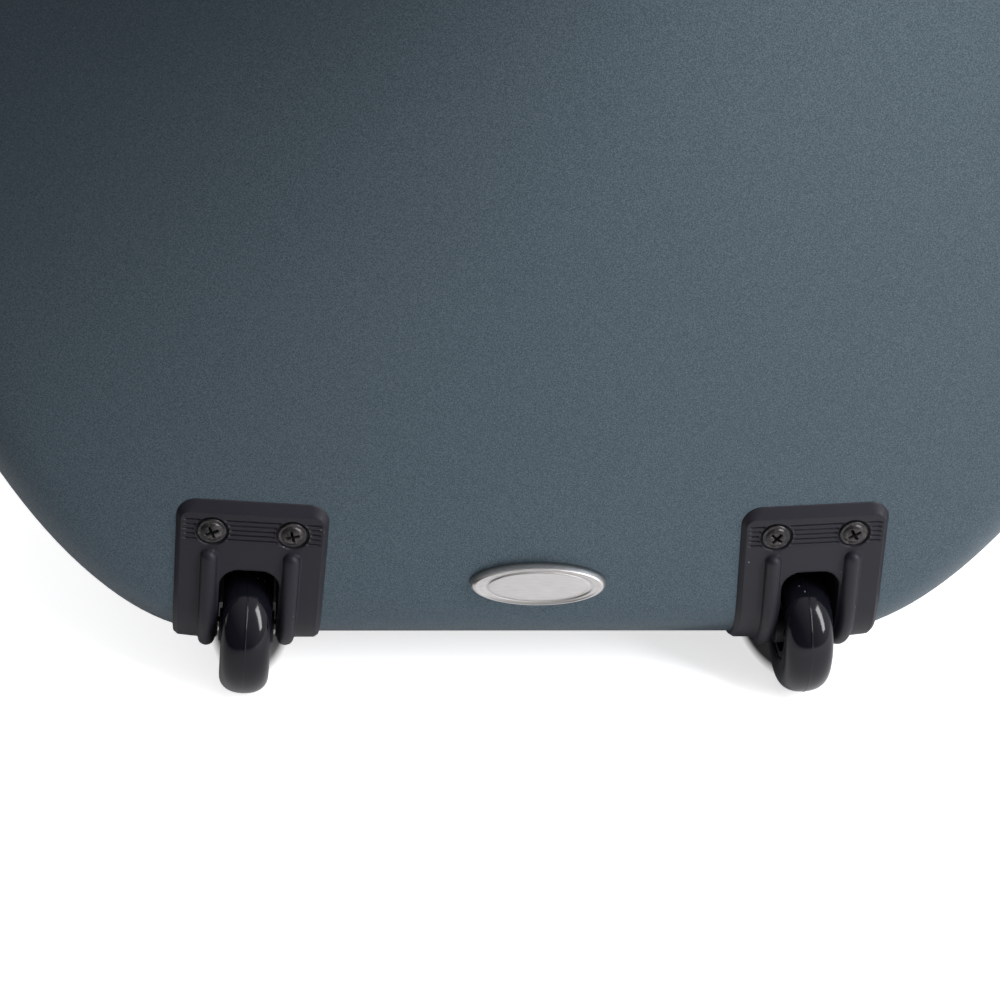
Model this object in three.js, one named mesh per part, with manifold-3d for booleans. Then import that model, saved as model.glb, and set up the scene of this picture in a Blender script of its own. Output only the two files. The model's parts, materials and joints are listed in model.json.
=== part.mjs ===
// A hard case for a cello, standing on two wheels and two feet.
// Millimetres, +Z up. The back with the wheels faces -Y, the lid faces +Y, and the shells part at y = 0.
import * as THREE from 'three';
import { mergeVertices } from 'three/addons/utils/BufferGeometryUtils.js';
import Module from 'manifold-3d';

const wasm = await Module();
wasm.setup();

// Fits shared by the whole case
const gap = 0.3;                 // between pieces that touch or turn on each other
const overrun = 6;               // how far a cutting body runs past what it cuts

// Outline of the shells, seen from the front, right half; rises are above the shell's lower edge
const shellHeight = 1325;
const riseOf = (heightShare) => shellHeight * heightShare;
const bottomFlatHalf = 123;
const bottomSweep = 76.6;
const lowerBoutHalf = 258;
const sideStartHalf = 253.5;
const sideEndHalf = 221;
const neckStartHalf = 100;
const neckEndHalf = 92;
const headTopSweep = 50;
const outlineRiseShares = {
  lowerBout: 0.2234, sideStart: 0.3019, sideEnd: 0.5351, neckStart: 0.7434, neckEnd: 0.8906,
};
const sweepShares = { lowerBout: 0.0913, waistEase: 0.0257, shoulder: 0.0981, headSide: 0.0642 };
const lowerBoutRise = riseOf(outlineRiseShares.lowerBout);
const sideStartRise = riseOf(outlineRiseShares.sideStart);
const sideEndRise = riseOf(outlineRiseShares.sideEnd);
const neckStartRise = riseOf(outlineRiseShares.neckStart);
const neckEndRise = riseOf(outlineRiseShares.neckEnd);
const lowerBoutSweep = riseOf(sweepShares.lowerBout);
const waistEaseSweep = riseOf(sweepShares.waistEase);
const shoulderSweep = riseOf(sweepShares.shoulder);
const headSideSweep = riseOf(sweepShares.headSide);

// Depth of the two shells from the parting plane, and how they taper towards the head
const backDepth = 172;
const backHeadDepth = 128;
const backCrown = 22;
const lidDepth = 112;
const lidHeadDepth = 84;
const lidCrown = 16;
const panelRiseShares = { crownStart: 0.0717, crownFull: 0.2491, spineLow: 0.1132, spineHigh: 0.9321 };
const crownStartRise = riseOf(panelRiseShares.crownStart);
const crownFullRise = riseOf(panelRiseShares.crownFull);
const spineLowRise = riseOf(panelRiseShares.spineLow);
const spineHighRise = riseOf(panelRiseShares.spineHigh);
const cornerRadius = 28;
const wallDraft = 3;
const shellWall = 3;
const groundClearance = 15;      // floor to the shell's lower edge

// Rim sections over the shell edges, and the seal between them
const edgeSetback = 4;           // shell edge to parting plane
const rimReach = 14;
const rimOuterWall = 2;
const rimInnerWall = 2;
const partingGap = 0.3;
const sealWidth = 3;
const sealDepth = 2.2;

// Padded lining
const liningThickness = 8;

// Wheels, their housings and axles
const wheelRadius = 27;
const treadWidth = 19.5;
const tyreInnerRadius = 13;
const treadCrown = 1.1;
const treadShoulder = 5.4;
const tyreSideRadius = 16;
const wheelSpacing = 224;
const axleInset = 10.5;          // axle to the plane of the back
const axleRadius = 3;
const axleHalfLength = 14.6;
const hubWidth = 16.5;
const hubBossRadius = 6.5;
const hubBossWidth = 21.6;
const hubWebThickness = 6;
const hubRimWall = 2.4;
const housingLean = 3.8;         // degrees that the housings splay outwards at the bottom
const plateThickness = 2.4;
const plateWidth = 57.6;
const plateTop = 67.5;             // above the axle
const plateCornerRadius = 8;
const plateBevelDepth = 1.5;
const plateBevelWidth = 2.6;
const plateLeg = 74;             // how far the plate runs in under the shell
const wellClearance = 3;
const wellWidth = 23;
const wellWall = 3.5;
const slotTop = 36.5;
const slotCornerRadius = 6;
const housingRibRadius = 3.3;
const housingRibSpacing = 31.4;
const housingRibTop = 47.5;
const housingRibEndInset = 66;
const housingScrewSpacing = 30.4;
const housingScrewHeight = 55;
const screwSeatRadius = 6.3;
const screwSeatDepth = 0.7;
const screwHoleRadius = 2;
const grooveCount = 5;
const grooveWidth = 0.9;
const grooveDepth = 0.5;
const groovePitch = 2.6;
const grooveMargin = 4.6;

// Rubber feet
const footRadius = 15;
const footTopRadius = 17;
const footSpacing = 190;
const footSetback = 33;
const footChamfer = 1.5;

// Bare oval metal plate between the wheels
const ovalPlateHalfWidth = 26.8;
const ovalPlateHalfHeight = 9.4;
const ovalPlateThickness = 3;
const ovalPlateBevel = 0.5;
const ovalPlateOffset = 2;       // from the middle
const ovalPlateRise = 42;

// Hinges along the straight side
const hingeSideShares = { lower: 0.1165, middle: 0.5, upper: 0.8835 };    // of the straight side's height
const hingeOffset = 8;           // axis to the shell's side at the parting plane
const knuckleRadius = 4.4;
const hingePinRadius = 2;
const hingePinHeadRadius = 3.4;
const hingePinHeadHeight = 1.2;
const hingeLength = 62;
const leafReach = 36;
const leafThickness = 2.2;
const leafCornerRadius = 6;

// Draw latches on the other side
const latchRiseShares = { lower: 0.1977, middle: 0.3487, upper: 0.5042 };
const latchBaseStart = 17;       // from the parting plane towards the back
const latchBaseEnd = 62;
const latchBaseWidth = 36;
const latchBaseThickness = 2.6;
const latchEarThickness = 2.4;
const latchEarInside = 14;
const latchPivotBack = 25;
const latchPivotHeight = 11.5;
const latchPivotRadius = 2;
const latchEarRadius = 4.4;
const cheekDropShare = 1.6;      // of the pivot's radius, from its centre down to the cheek's edge
const bailPivotBack = 38;
const bailPivotHeight = 7.5;
const bailWire = 1.4;
const bailBendShare = 1.2;
const bailArmOffset = 7;
const bailCrossForward = 13.5;
const bailCrossHeight = 6.2;
const leverCheekInside = 9.6;
const leverCheekThickness = 2.4;
const leverPlateStart = 43;
const leverPlateEnd = 66;
const leverPlateThickness = 2.4;
const leverCheekHeight = 6.4;
const leverTopHeight = 14.2;
const leverTipRise = 1.6;
const keeperRidgeStart = 7.6;
const keeperRidgeEnd = 10.9;
const keeperRidgeHeight = 7.2;
const keeperLength = 30;
const keeperWidth = 28;
const keeperThickness = 2.4;

// Carrying handles: one on the side, one on the neck
const handleRiseShares = { side: 0.4226, neck: 0.8242 };
const sideHandleDepth = 92;
const sideHandleSpan = 128;
const neckHandleSpan = 76;
const handleBaseWidth = 26;
const handleBaseThickness = 3;
const handleBaseMargin = 14;
const handleLugThickness = 5;
const handleLugRadius = 6;
const handlePivotHeight = 9.6;
const handlePinRadius = 2.5;
const handleArmRadius = 4.2;
const handleEyeRadius = 5;
const handleGripRadius = 7.2;
const handleReach = 34;
const handleGripLengthShare = 0.72;
const handlePinReachShare = 1.5;
const handleLift = 1.4;

// Strap rings on the back
const ringHalves = { upper: 62, lower: 150 };
const ringRiseShares = { upper: 0.683, lower: 0.2808 };
const ringWire = 2.1;
const ringInnerWidth = 30;
const ringDrop = 24;
const anchorWidth = 40;
const anchorHeight = 24;
const anchorThickness = 2.6;
const anchorLoopWall = 1.8;
const anchorLoopWidth = 20;
const anchorCornerRadius = 5;

// Pads and supports inside the back
const endpinBlockWidth = 112;
const endpinBlockHeight = 50;
const endpinBlockFront = 44;
const endpinHoleRadius = 9;
const endpinHoleDepth = 32;
const endpinHoleSetback = 96;
const padRiseShares = { lower: 0.1547, upper: 0.5857 };
const padHalfLengths = { lower: 92, upper: 74 };
const padSwell = 34;
const padHalfDepth = 54;
const padMiddleDepth = 88;
const cradleRiseShare = 0.7306;
const cradleLength = 46;
const cradleFront = 40;
const cradleNotchHalf = 26;
const cradleNotchDepth = 62;

// Bow rest in the lid
const bowRestRiseShare = 0.5011;
const bowRestLength = 46;
const bowRestWidth = 132;
const bowRestHeight = 26;
const bowSpacing = 84;
const bowGrooveHalf = 8;
const bowGrooveDepth = 12;
const spinnerLength = 34;
const spinnerWidth = 11;
const spinnerThickness = 3.2;
const spinnerPinRadius = 2.2;
const spinnerPinLength = 9;
const spinnerInset = 21;

// Finishes
const finish = (color, roughness, metalness) =>
  new THREE.MeshStandardMaterial({ color, roughness, metalness });
const shellPaint = finish(0x5a6b74, 0.42, 0.55);
const mouldedPlastic = finish(0x2f2f35, 0.62, 0);
const rimPlastic = finish(0x26262a, 0.5, 0);
const wheelUrethane = finish(0x202026, 0.22, 0);
const footRubber = finish(0x1d1d1f, 0.85, 0);
const plush = finish(0x33343a, 0.95, 0);
const cushionPlush = finish(0x3d3e45, 0.95, 0);
const platedSteel = finish(0xb9bcc0, 0.28, 1);
const blackSteel = finish(0x39393c, 0.4, 0.9);

const caseGroup = new THREE.Group();

// Solids and meshes
function positionsOnly(geometry) {
  const bare = geometry.clone();
  for (const name of Object.keys(bare.attributes)) {
    if (name !== 'position') bare.deleteAttribute(name);
  }
  return mergeVertices(bare, 1e-4);
}

function solidOf(geometry, matrix) {
  const merged = positionsOnly(geometry);
  if (matrix) merged.applyMatrix4(matrix);
  const corners = merged.index.array;
  const kept = [];
  for (let i = 0; i < corners.length; i += 3) {
    const [a, b, c] = [corners[i], corners[i + 1], corners[i + 2]];
    if (a !== b && b !== c && c !== a) kept.push(a, b, c);
  }
  return new wasm.Manifold(new wasm.Mesh({
    numProp: 3,
    vertProperties: new Float32Array(merged.attributes.position.array),
    triVerts: new Uint32Array(kept),
  }));
}

function geometryOf(solid) {
  const mesh = solid.asOriginal().getMesh();
  const geometry = new THREE.BufferGeometry();
  geometry.setAttribute('position', new THREE.BufferAttribute(new Float32Array(mesh.vertProperties), 3));
  geometry.setIndex(new THREE.BufferAttribute(new Uint32Array(mesh.triVerts), 1));
  geometry.computeVertexNormals();
  return geometry;
}

const moved = (solid, matrix) => solid.transform(Array.from(matrix.elements));
const joined = (first, ...rest) => rest.reduce((sum, next) => sum.add(next), first);
const cut = (first, ...rest) => rest.reduce((left, next) => left.subtract(next), first);

function addPiece(name, solid, material, matrix) {
  const mesh = new THREE.Mesh(geometryOf(solid), material);
  mesh.name = name;
  if (matrix) mesh.applyMatrix4(matrix);
  caseGroup.add(mesh);
}

// Placing
const at = (x, y, z) => new THREE.Matrix4().makeTranslation(x, y, z);
const turned = (axis, degrees) =>
  new THREE.Matrix4().makeRotationAxis(axis, THREE.MathUtils.degToRad(degrees));
const chain = (...steps) => steps.reduce((product, step) => product.multiply(step), new THREE.Matrix4());
const axisX = new THREE.Vector3(1, 0, 0);
const axisY = new THREE.Vector3(0, 1, 0);
const axisZ = new THREE.Vector3(0, 0, 1);
const basis = (x, y, z) => new THREE.Matrix4().makeBasis(x, y, z);
const alongX = basis(axisY, axisZ, axisX);                      // a shape drawn in y, z and extruded along x
const alongY = basis(axisX, axisZ.clone(), axisY.clone().negate());   // a shape drawn in x, z, towards -y
const quarterTurn = 90;

// A block between two corners
function block(x0, x1, y0, y1, z0, z1) {
  const geometry = new THREE.BoxGeometry(x1 - x0, y1 - y0, z1 - z0);
  return solidOf(geometry, at((x0 + x1) / 2, (y0 + y1) / 2, (z0 + z1) / 2));
}

// A round bar of the given length, centred, along local x, y or z
function bar(radius, length, axis, sides = 10) {
  const geometry = new THREE.CylinderGeometry(radius, radius, length, sides);
  if (axis === 'x') geometry.rotateZ(THREE.MathUtils.degToRad(quarterTurn));
  if (axis === 'z') geometry.rotateX(THREE.MathUtils.degToRad(quarterTurn));
  return solidOf(geometry);
}

// A round tube through stations of { centre, along, radius }, closed on itself or with flat ends.
// `sideways` is square to the plane that the tube bends in
function tube(stations, sidesRound, sideways, closed) {
  const rows = stations.length;
  const positions = [];
  for (const { centre, along, radius } of stations) {
    const across = new THREE.Vector3().crossVectors(along, sideways).normalize();
    for (let j = 0; j < sidesRound; j += 1) {
      const angle = ((j + 0.5) / sidesRound) * Math.PI * 2;
      const edge = centre.clone()
        .addScaledVector(across, radius * Math.cos(angle))
        .addScaledVector(sideways, radius * Math.sin(angle));
      positions.push(edge.x, edge.y, edge.z);
    }
  }
  const faces = [];
  for (let i = 0; i < (closed ? rows : rows - 1); i += 1) {
    for (let j = 0; j < sidesRound; j += 1) {
      const [i2, j2] = [(i + 1) % rows, (j + 1) % sidesRound];
      const [a, b] = [i * sidesRound + j, i2 * sidesRound + j];
      const [c, d] = [i2 * sidesRound + j2, i * sidesRound + j2];
      faces.push(a, b, c, a, c, d);
    }
  }
  if (!closed) {
    const last = (rows - 1) * sidesRound;
    for (let j = 1; j + 1 < sidesRound; j += 1) {
      faces.push(0, j, j + 1, last, last + j + 1, last + j);
    }
  }
  const geometry = new THREE.BufferGeometry();
  geometry.setAttribute('position', new THREE.BufferAttribute(new Float32Array(positions), 3));
  geometry.setIndex(faces);
  const solid = solidOf(geometry);
  return solid.volume() > 0 ? solid : solidOf(geometry.clone().setIndex(faces.toReversed()));
}

// Stations of a round bend about `centre`, from one direction to another in the plane of u and v
function bendStations(centre, u, v, bendRadius, startAngle, endAngle, steps, radius) {
  return Array.from({ length: steps + 1 }, (_, i) => {
    const angle = THREE.MathUtils.degToRad(THREE.MathUtils.lerp(startAngle, endAngle, i / steps));
    const [c, k] = [Math.cos(angle), Math.sin(angle)];
    const way = Math.sign(endAngle - startAngle);
    return {
      centre: centre.clone().addScaledVector(u, bendRadius * c).addScaledVector(v, bendRadius * k),
      along: u.clone().multiplyScalar(-k * way).addScaledVector(v, c * way),
      radius,
    };
  });
}

// A shape extruded from z = 0
function slab(shape, depth, curveSegments = 2) {
  return solidOf(new THREE.ExtrudeGeometry(shape, { depth, bevelEnabled: false, curveSegments }));
}

function roundedRectangle(x0, x1, y0, y1, radius) {
  const shape = new THREE.Shape();
  shape.moveTo(x0 + radius, y0);
  shape.lineTo(x1 - radius, y0);
  shape.absarc(x1 - radius, y0 + radius, radius, -Math.PI / 2, 0);
  shape.lineTo(x1, y1 - radius);
  shape.absarc(x1 - radius, y1 - radius, radius, 0, Math.PI / 2);
  shape.lineTo(x0 + radius, y1);
  shape.absarc(x0 + radius, y1 - radius, radius, Math.PI / 2, Math.PI);
  shape.lineTo(x0, y0 + radius);
  shape.absarc(x0 + radius, y0 + radius, radius, Math.PI, Math.PI * 1.5);
  return shape;
}

// The outline of the case: curves of the right half, from the middle of the bottom to the head
const sideLean = Math.atan2(sideStartHalf - sideEndHalf, sideEndRise - sideStartRise);
const point = (x, y) => new THREE.Vector2(x, y);
const alongSide = (distance) => point(-Math.sin(sideLean), Math.cos(sideLean)).multiplyScalar(distance);
const sideStart = point(sideStartHalf, sideStartRise);
const sideEnd = point(sideEndHalf, sideEndRise);
const outlineCurves = [
  { steps: 1, curve: new THREE.LineCurve(point(0, 0), point(bottomFlatHalf, 0)) },
  {
    steps: 6,
    curve: new THREE.CubicBezierCurve(
      point(bottomFlatHalf, 0), point(bottomFlatHalf + bottomSweep, 0),
      point(lowerBoutHalf, lowerBoutRise - lowerBoutSweep), point(lowerBoutHalf, lowerBoutRise)),
  },
  {
    steps: 1,
    curve: new THREE.CubicBezierCurve(
      point(lowerBoutHalf, lowerBoutRise), point(lowerBoutHalf, lowerBoutRise + waistEaseSweep),
      sideStart.clone().sub(alongSide(waistEaseSweep)), sideStart),
  },
  { steps: 1, curve: new THREE.LineCurve(sideStart, sideEnd) },
  {
    steps: 4,
    curve: new THREE.CubicBezierCurve(
      sideEnd, sideEnd.clone().add(alongSide(shoulderSweep)),
      point(neckStartHalf, neckStartRise - shoulderSweep), point(neckStartHalf, neckStartRise)),
  },
  {
    steps: 1,
    curve: new THREE.LineCurve(point(neckStartHalf, neckStartRise), point(neckEndHalf, neckEndRise)),
  },
  {
    steps: 3,
    curve: new THREE.CubicBezierCurve(
      point(neckEndHalf, neckEndRise), point(neckEndHalf, neckEndRise + headSideSweep),
      point(headTopSweep, shellHeight), point(0, shellHeight)),
  },
];

function outlineHalf() {
  const samples = [];
  for (const { steps, curve } of outlineCurves) {
    for (let i = samples.length ? 1 : 0; i <= steps; i += 1) {
      const p = curve.getPoint(i / steps);
      const t = curve.getTangent(i / steps);
      samples.push({ x: p.x, z: p.y, nx: t.y, nz: -t.x });
    }
  }
  return samples;
}

const rightHalf = outlineHalf();
const leftHalf = rightHalf.slice(1, -1).reverse().map((s) => ({ x: -s.x, z: s.z, nx: -s.nx, nz: s.nz }));
const outline = [...rightHalf, ...leftHalf];

const blend = THREE.MathUtils.smoothstep;
const shellHalves = {
  back: { sign: -1, depth: backDepth, headDepth: backHeadDepth, crown: backCrown },
  lid: { sign: 1, depth: lidDepth, headDepth: lidHeadDepth, crown: lidCrown },
};

// How deep a shell is at a height, and how much its panel bulges there
function depthAt(half, rise) {
  const share = THREE.MathUtils.clamp((rise - sideEndRise) / (neckEndRise - sideEndRise), 0, 1);
  return THREE.MathUtils.lerp(half.depth, half.headDepth, share);
}

function crownAt(half, rise, reach, share) {
  const ends = blend(rise, crownStartRise, crownFullRise) * (1 - blend(rise, neckEndRise, spineHighRise));
  return half.crown * ends * (reach / lowerBoutHalf) * share * share * (3 - 2 * share);
}

// The closed body inside a shell's outer face grown by `grow`, from the plane |y| = from outwards
const outerFacets = { arcSteps: 3, panelShares: [0.45, 1] };
const liningFacets = { arcSteps: 2, panelShares: [1] };

function caseBody(half, grow, from, { arcSteps, panelShares } = outerFacets) {
  const rings = [];
  const ring = (place) => rings.push(outline.map(place));
  const inset = (s, distance) => ({ x: s.x - s.nx * distance, z: s.z - s.nz * distance });
  const spineOf = (s) => THREE.MathUtils.clamp(s.z, spineLowRise, spineHighRise);
  ring((s) => [0, from, spineOf(s)]);
  ring((s) => {
    const p = inset(s, (wallDraft * from) / (depthAt(half, s.z) - cornerRadius) - grow);
    return [p.x, from, p.z];
  });
  for (let i = 0; i <= arcSteps; i += 1) {
    const angle = (Math.PI / 2) * (i / arcSteps);
    ring((s) => {
      const p = inset(s, wallDraft + cornerRadius - (cornerRadius + grow) * Math.cos(angle));
      const depth = depthAt(half, s.z);
      return [p.x, depth - cornerRadius + (cornerRadius + grow) * Math.sin(angle), p.z];
    });
  }
  for (const share of panelShares) {
    ring((s) => {
      const edge = inset(s, wallDraft + cornerRadius);
      const x = THREE.MathUtils.lerp(edge.x, 0, share);
      const z = THREE.MathUtils.lerp(edge.z, spineOf(s), share);
      const depth = THREE.MathUtils.lerp(depthAt(half, s.z), depthAt(half, spineOf(s)), share);
      return [x, depth + grow + crownAt(half, z, Math.abs(edge.x), share), z];
    });
  }
  return ringsBody(rings, half.sign);
}

// Closes a stack of rings whose first and last ones fold together on the middle line
function ringsBody(rings, sign) {
  const count = outline.length;
  const positions = rings.flat().flatMap(([x, y, z]) => [x, sign * y, z + groundClearance]);
  const faces = [];
  for (let r = 0; r + 1 < rings.length; r += 1) {
    for (let i = 0; i < count; i += 1) {
      const j = (i + 1) % count;
      const [a, b, c, d] = [r * count + i, r * count + j, (r + 1) * count + j, (r + 1) * count + i];
      if (sign > 0) faces.push(a, c, b, a, d, c);
      else faces.push(a, b, c, a, c, d);
    }
  }
  const geometry = new THREE.BufferGeometry();
  geometry.setAttribute('position', new THREE.BufferAttribute(new Float32Array(positions), 3));
  geometry.setIndex(faces);
  return solidOf(geometry);
}

const farSide = lowerBoutHalf + rimReach * 10;
const farTop = shellHeight * 2;
const farDepth = backDepth * 2;

// The slab of space between two distances from the parting plane, on one half's side
function depthSlab(half, near, far) {
  const [y0, y1] = [half.sign * near, half.sign * far].sort((a, b) => a - b);
  return block(-farSide, farSide, y0, y1, -farSide, farTop);
}

const outerGrown = {
  back: caseBody(shellHalves.back, gap, -overrun),
  lid: caseBody(shellHalves.lid, gap, -overrun),
};
const liningInset = shellWall + gap;
const cavity = {
  back: caseBody(shellHalves.back, -liningInset - liningThickness - gap, -overrun, liningFacets),
  lid: caseBody(shellHalves.lid, -liningInset - liningThickness - gap, -overrun, liningFacets),
};

// A closed section of [inset, distance from the parting plane] points, swept round the shell's edge
function sweptSection(half, section) {
  const count = outline.length;
  const positions = [];
  for (const [inset, y] of section) {
    for (const s of outline) {
      const distance = inset + (wallDraft * y) / (depthAt(half, s.z) - cornerRadius);
      positions.push(s.x - s.nx * distance, half.sign * y, s.z - s.nz * distance + groundClearance);
    }
  }
  const faces = [];
  for (let r = 0; r < section.length; r += 1) {
    for (let i = 0; i < count; i += 1) {
      const [j, q] = [(i + 1) % count, (r + 1) % section.length];
      const [a, b, c, d] = [r * count + i, r * count + j, q * count + j, q * count + i];
      if (half.sign > 0) faces.push(a, b, c, a, c, d);
      else faces.push(a, c, b, a, d, c);
    }
  }
  const geometry = new THREE.BufferGeometry();
  geometry.setAttribute('position', new THREE.BufferAttribute(new Float32Array(positions), 3));
  geometry.setIndex(faces);
  return solidOf(geometry);
}

// Wheel housing, in a frame on its axle: x along the axle, y towards the lid, z up
const backPlane = -axleInset;
const shellBottom = groundClearance - wheelRadius;
const draftAt = (y) => (wallDraft * (backDepth - axleInset - y)) / (backDepth - cornerRadius);
const bendCentre = point(backPlane + cornerRadius, shellBottom + wallDraft + cornerRadius);
const wellRadius = wheelRadius + wellClearance;

// Region of the y, z plane enclosed by the back and the bottom of the shell grown by `grow`
function cornerRegion(grow) {
  const shape = new THREE.Shape();
  const far = plateLeg + overrun;
  const top = plateTop + overrun;
  shape.moveTo(backPlane - grow, top);
  shape.lineTo(backPlane - grow, bendCentre.y);
  shape.absarc(bendCentre.x, bendCentre.y, cornerRadius + grow, Math.PI, Math.PI * 1.5);
  shape.lineTo(far, shellBottom + draftAt(far) - grow);
  shape.lineTo(far, top);
  return shape;
}

const cornerSlab = (grow, halfWidth) =>
  moved(slab(cornerRegion(grow), halfWidth * 2, 6), chain(at(-halfWidth, 0, 0), alongX));

// The well's side profile: round about the axle and square up to the slot's top
function wellSection(grow, halfWidth) {
  const round = bar(wellRadius + grow, halfWidth * 2, 'x', 20);
  const square = block(-halfWidth, halfWidth, -wellRadius, wellRadius / 2 + grow, 0, slotTop + grow);
  return joined(round, square);
}

const leanMatrix = (side) => turned(axisY, -side * housingLean);
const wheelFrame = (side) => at(side * wheelSpacing / 2, -backDepth + axleInset, wheelRadius);
const uprightIn = (side, solid) => moved(solid, leanMatrix(side));

// Follows the lean sideways only, so that a rib stays on the plate's own surface
function sheared(side, solid) {
  const slope = Math.tan(THREE.MathUtils.degToRad(housingLean));
  const shear = new THREE.Matrix4();
  shear.elements[8] = -side * slope;
  return moved(solid, shear);
}

// Radius and rise of a rib's domed end, from its tip to where it joins the straight part
const domeShares = [[0.3, 0.95], [0.72, 0.7], [1, 0]];

function housingRib(side, x) {
  const crest = plateThickness;
  const rear = backPlane - crest;
  const under = shellBottom + draftAt(housingRibEndInset) - crest;
  const spot = (y, z) => new THREE.Vector3(x, y, z);
  const up = axisZ.clone();
  const inwards = axisY.clone();
  const dome = (y, z, along, way) => domeShares.map(([radiusShare, riseShare]) => ({
    centre: spot(y, z).addScaledVector(along, way * riseShare * housingRibRadius),
    along: along.clone().multiplyScalar(-way),
    radius: radiusShare * housingRibRadius,
  }));
  const top = dome(rear, housingRibTop, up, 1);
  const bend = bendStations(spot(bendCentre.x, bendCentre.y), inwards, up, cornerRadius + crest,
    180, 270, 5, housingRibRadius);
  const end = dome(housingRibEndInset, under, inwards, 1).reverse()
    .map((station) => ({ ...station, along: inwards.clone() }));
  return sheared(side, tube([...top, ...bend, ...end], 8, axisX));
}

function wheelHousing(side) {
  const wide = plateWidth;
  const wrap = cut(cornerSlab(plateThickness, wide), cornerSlab(gap, wide + overrun));
  const faceShape = roundedRectangle(
    -plateWidth / 2, plateWidth / 2, -plateLeg * 2, plateTop, plateCornerRadius);
  const faceDepth = plateLeg + plateThickness - backPlane;
  const faceGeometry = new THREE.ExtrudeGeometry(faceShape, {
    depth: faceDepth,
    curveSegments: 4,
    bevelThickness: plateBevelDepth,
    bevelSize: plateBevelWidth,
    bevelOffset: -plateBevelWidth,
    bevelSegments: 1,
  });
  const face = solidOf(faceGeometry, chain(
    at(0, backPlane - plateThickness + faceDepth + plateBevelDepth, 0), alongY));
  const legEnd = block(-wide, wide, backPlane - overrun, plateLeg, -plateLeg * 2, plateTop + overrun);
  const plate = wrap.intersect(uprightIn(side, face)).intersect(legEnd);
  const ribs = [-1, 1].map((way) => housingRib(side, way * housingRibSpacing / 2));
  const ribbed = cut(joined(plate, ...ribs), cornerSlab(gap, wide + overrun));
  const wellOuter = uprightIn(side, wellSection(wellWall, wellWidth / 2 + wellWall))
    .intersect(cornerSlab(plateThickness, wide));
  const body = joined(ribbed, wellOuter);
  const slotShape = roundedRectangle(
    -wellWidth / 2, wellWidth / 2, -plateLeg * 2, slotTop, slotCornerRadius);
  const slotFace = moved(slab(slotShape, plateLeg * 2), chain(at(0, plateLeg, 0), alongY));
  const hollow = wellSection(0, wellWidth / 2).add(
    block(-wellWidth / 2, wellWidth / 2, -wellRadius, 0, -wellRadius, slotTop))
    .intersect(slotFace);
  const bore = bar(axleRadius + gap, wellWidth + (wellWall + gap) * 2, 'x');
  const plateFace = backPlane - plateThickness;
  const screwPlaces = [-1, 1].map((way) => at(way * housingScrewSpacing / 2, plateFace, housingScrewHeight));
  const seats = screwPlaces.map((place) => moved(bar(screwSeatRadius, screwSeatDepth * 2, 'y'), place));
  const holes = screwPlaces.map((place) => moved(bar(screwHoleRadius, plateThickness * 3, 'y', 6), place));
  const grooveHalf = plateWidth / 2 - grooveMargin;
  const grooves = Array.from({ length: grooveCount }, (_, i) => {
    const middle = housingScrewHeight + (i - (grooveCount - 1) / 2) * groovePitch;
    return block(-grooveHalf, grooveHalf, plateFace - grooveDepth, plateFace + grooveDepth,
      middle - grooveWidth / 2, middle + grooveWidth / 2);
  });
  const tools = [hollow, bore, ...grooves, ...seats, ...holes].map((tool) => uprightIn(side, tool));
  return cut(body, ...tools);
}

function latheAlongX(profile, segments) {
  const points = profile.map(([radius, x]) => point(radius, x));
  const geometry = new THREE.LatheGeometry([...points, points[0]], segments);
  return solidOf(geometry, turned(axisZ, -quarterTurn));
}

function tyre() {
  const half = treadWidth / 2;
  const side = half - treadShoulder / 4;
  return latheAlongX([
    [tyreInnerRadius, -hubWidth / 2],
    [tyreSideRadius, -half],
    [wheelRadius - treadShoulder, -half],
    [wheelRadius - treadShoulder / 2, -side],
    [wheelRadius - treadCrown, -half + treadShoulder],
    [wheelRadius, 0],
    [wheelRadius - treadCrown, half - treadShoulder],
    [wheelRadius - treadShoulder / 2, side],
    [wheelRadius - treadShoulder, half],
    [tyreSideRadius, half],
    [tyreInnerRadius, hubWidth / 2],
  ], 22);
}

function hub() {
  const outer = tyreInnerRadius - gap;
  const inner = outer - hubRimWall;
  const bore = axleRadius + gap;
  const [rim, web, boss] = [hubWidth / 2, hubWebThickness / 2, hubBossWidth / 2];
  return latheAlongX([
    [bore, -boss], [hubBossRadius, -boss], [hubBossRadius, -web], [inner, -web], [inner, -rim], [outer, -rim],
    [outer, rim], [inner, rim], [inner, web], [hubBossRadius, web], [hubBossRadius, boss], [bore, boss],
  ], 12);
}

const sides = { left: -1, right: 1 };
const wellCuts = [];
for (const [sideName, side] of Object.entries(sides)) {
  const frame = wheelFrame(side);
  const leaned = chain(frame, leanMatrix(side));
  addPiece(`wheel_housing_${sideName}`, wheelHousing(side), mouldedPlastic, frame);
  addPiece(`wheel_tyre_${sideName}`, tyre(), wheelUrethane, leaned);
  addPiece(`wheel_hub_${sideName}`, hub(), mouldedPlastic, leaned);
  addPiece(`wheel_axle_${sideName}`, bar(axleRadius, axleHalfLength * 2, 'x'), platedSteel, leaned);
  wellCuts.push(moved(wellSection(wellWall + gap, wellWidth / 2 + wellWall + gap), leaned));
  wellCuts.push(moved(block(
    -wellWidth / 2 - wellWall - gap, wellWidth / 2 + wellWall + gap,
    -wellRadius, wellRadius, -wellRadius, 0), leaned));
}

// The two shells: walls cut back from the parting plane, the back one opened for the wheel wells
function shell(half) {
  const outer = caseBody(half, 0, edgeSetback);
  return cut(outer, caseBody(half, -shellWall, edgeSetback - overrun));
}

addPiece('back_shell', cut(shell(shellHalves.back), ...wellCuts), shellPaint);
addPiece('lid_shell', shell(shellHalves.lid), shellPaint);

// Linings: a layer of foam and plush behind the rims
function lining(half) {
  const outer = caseBody(half, -liningInset, rimReach + gap);
  return cut(outer, caseBody(half, -liningInset - liningThickness, rimReach - overrun, liningFacets));
}

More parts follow.
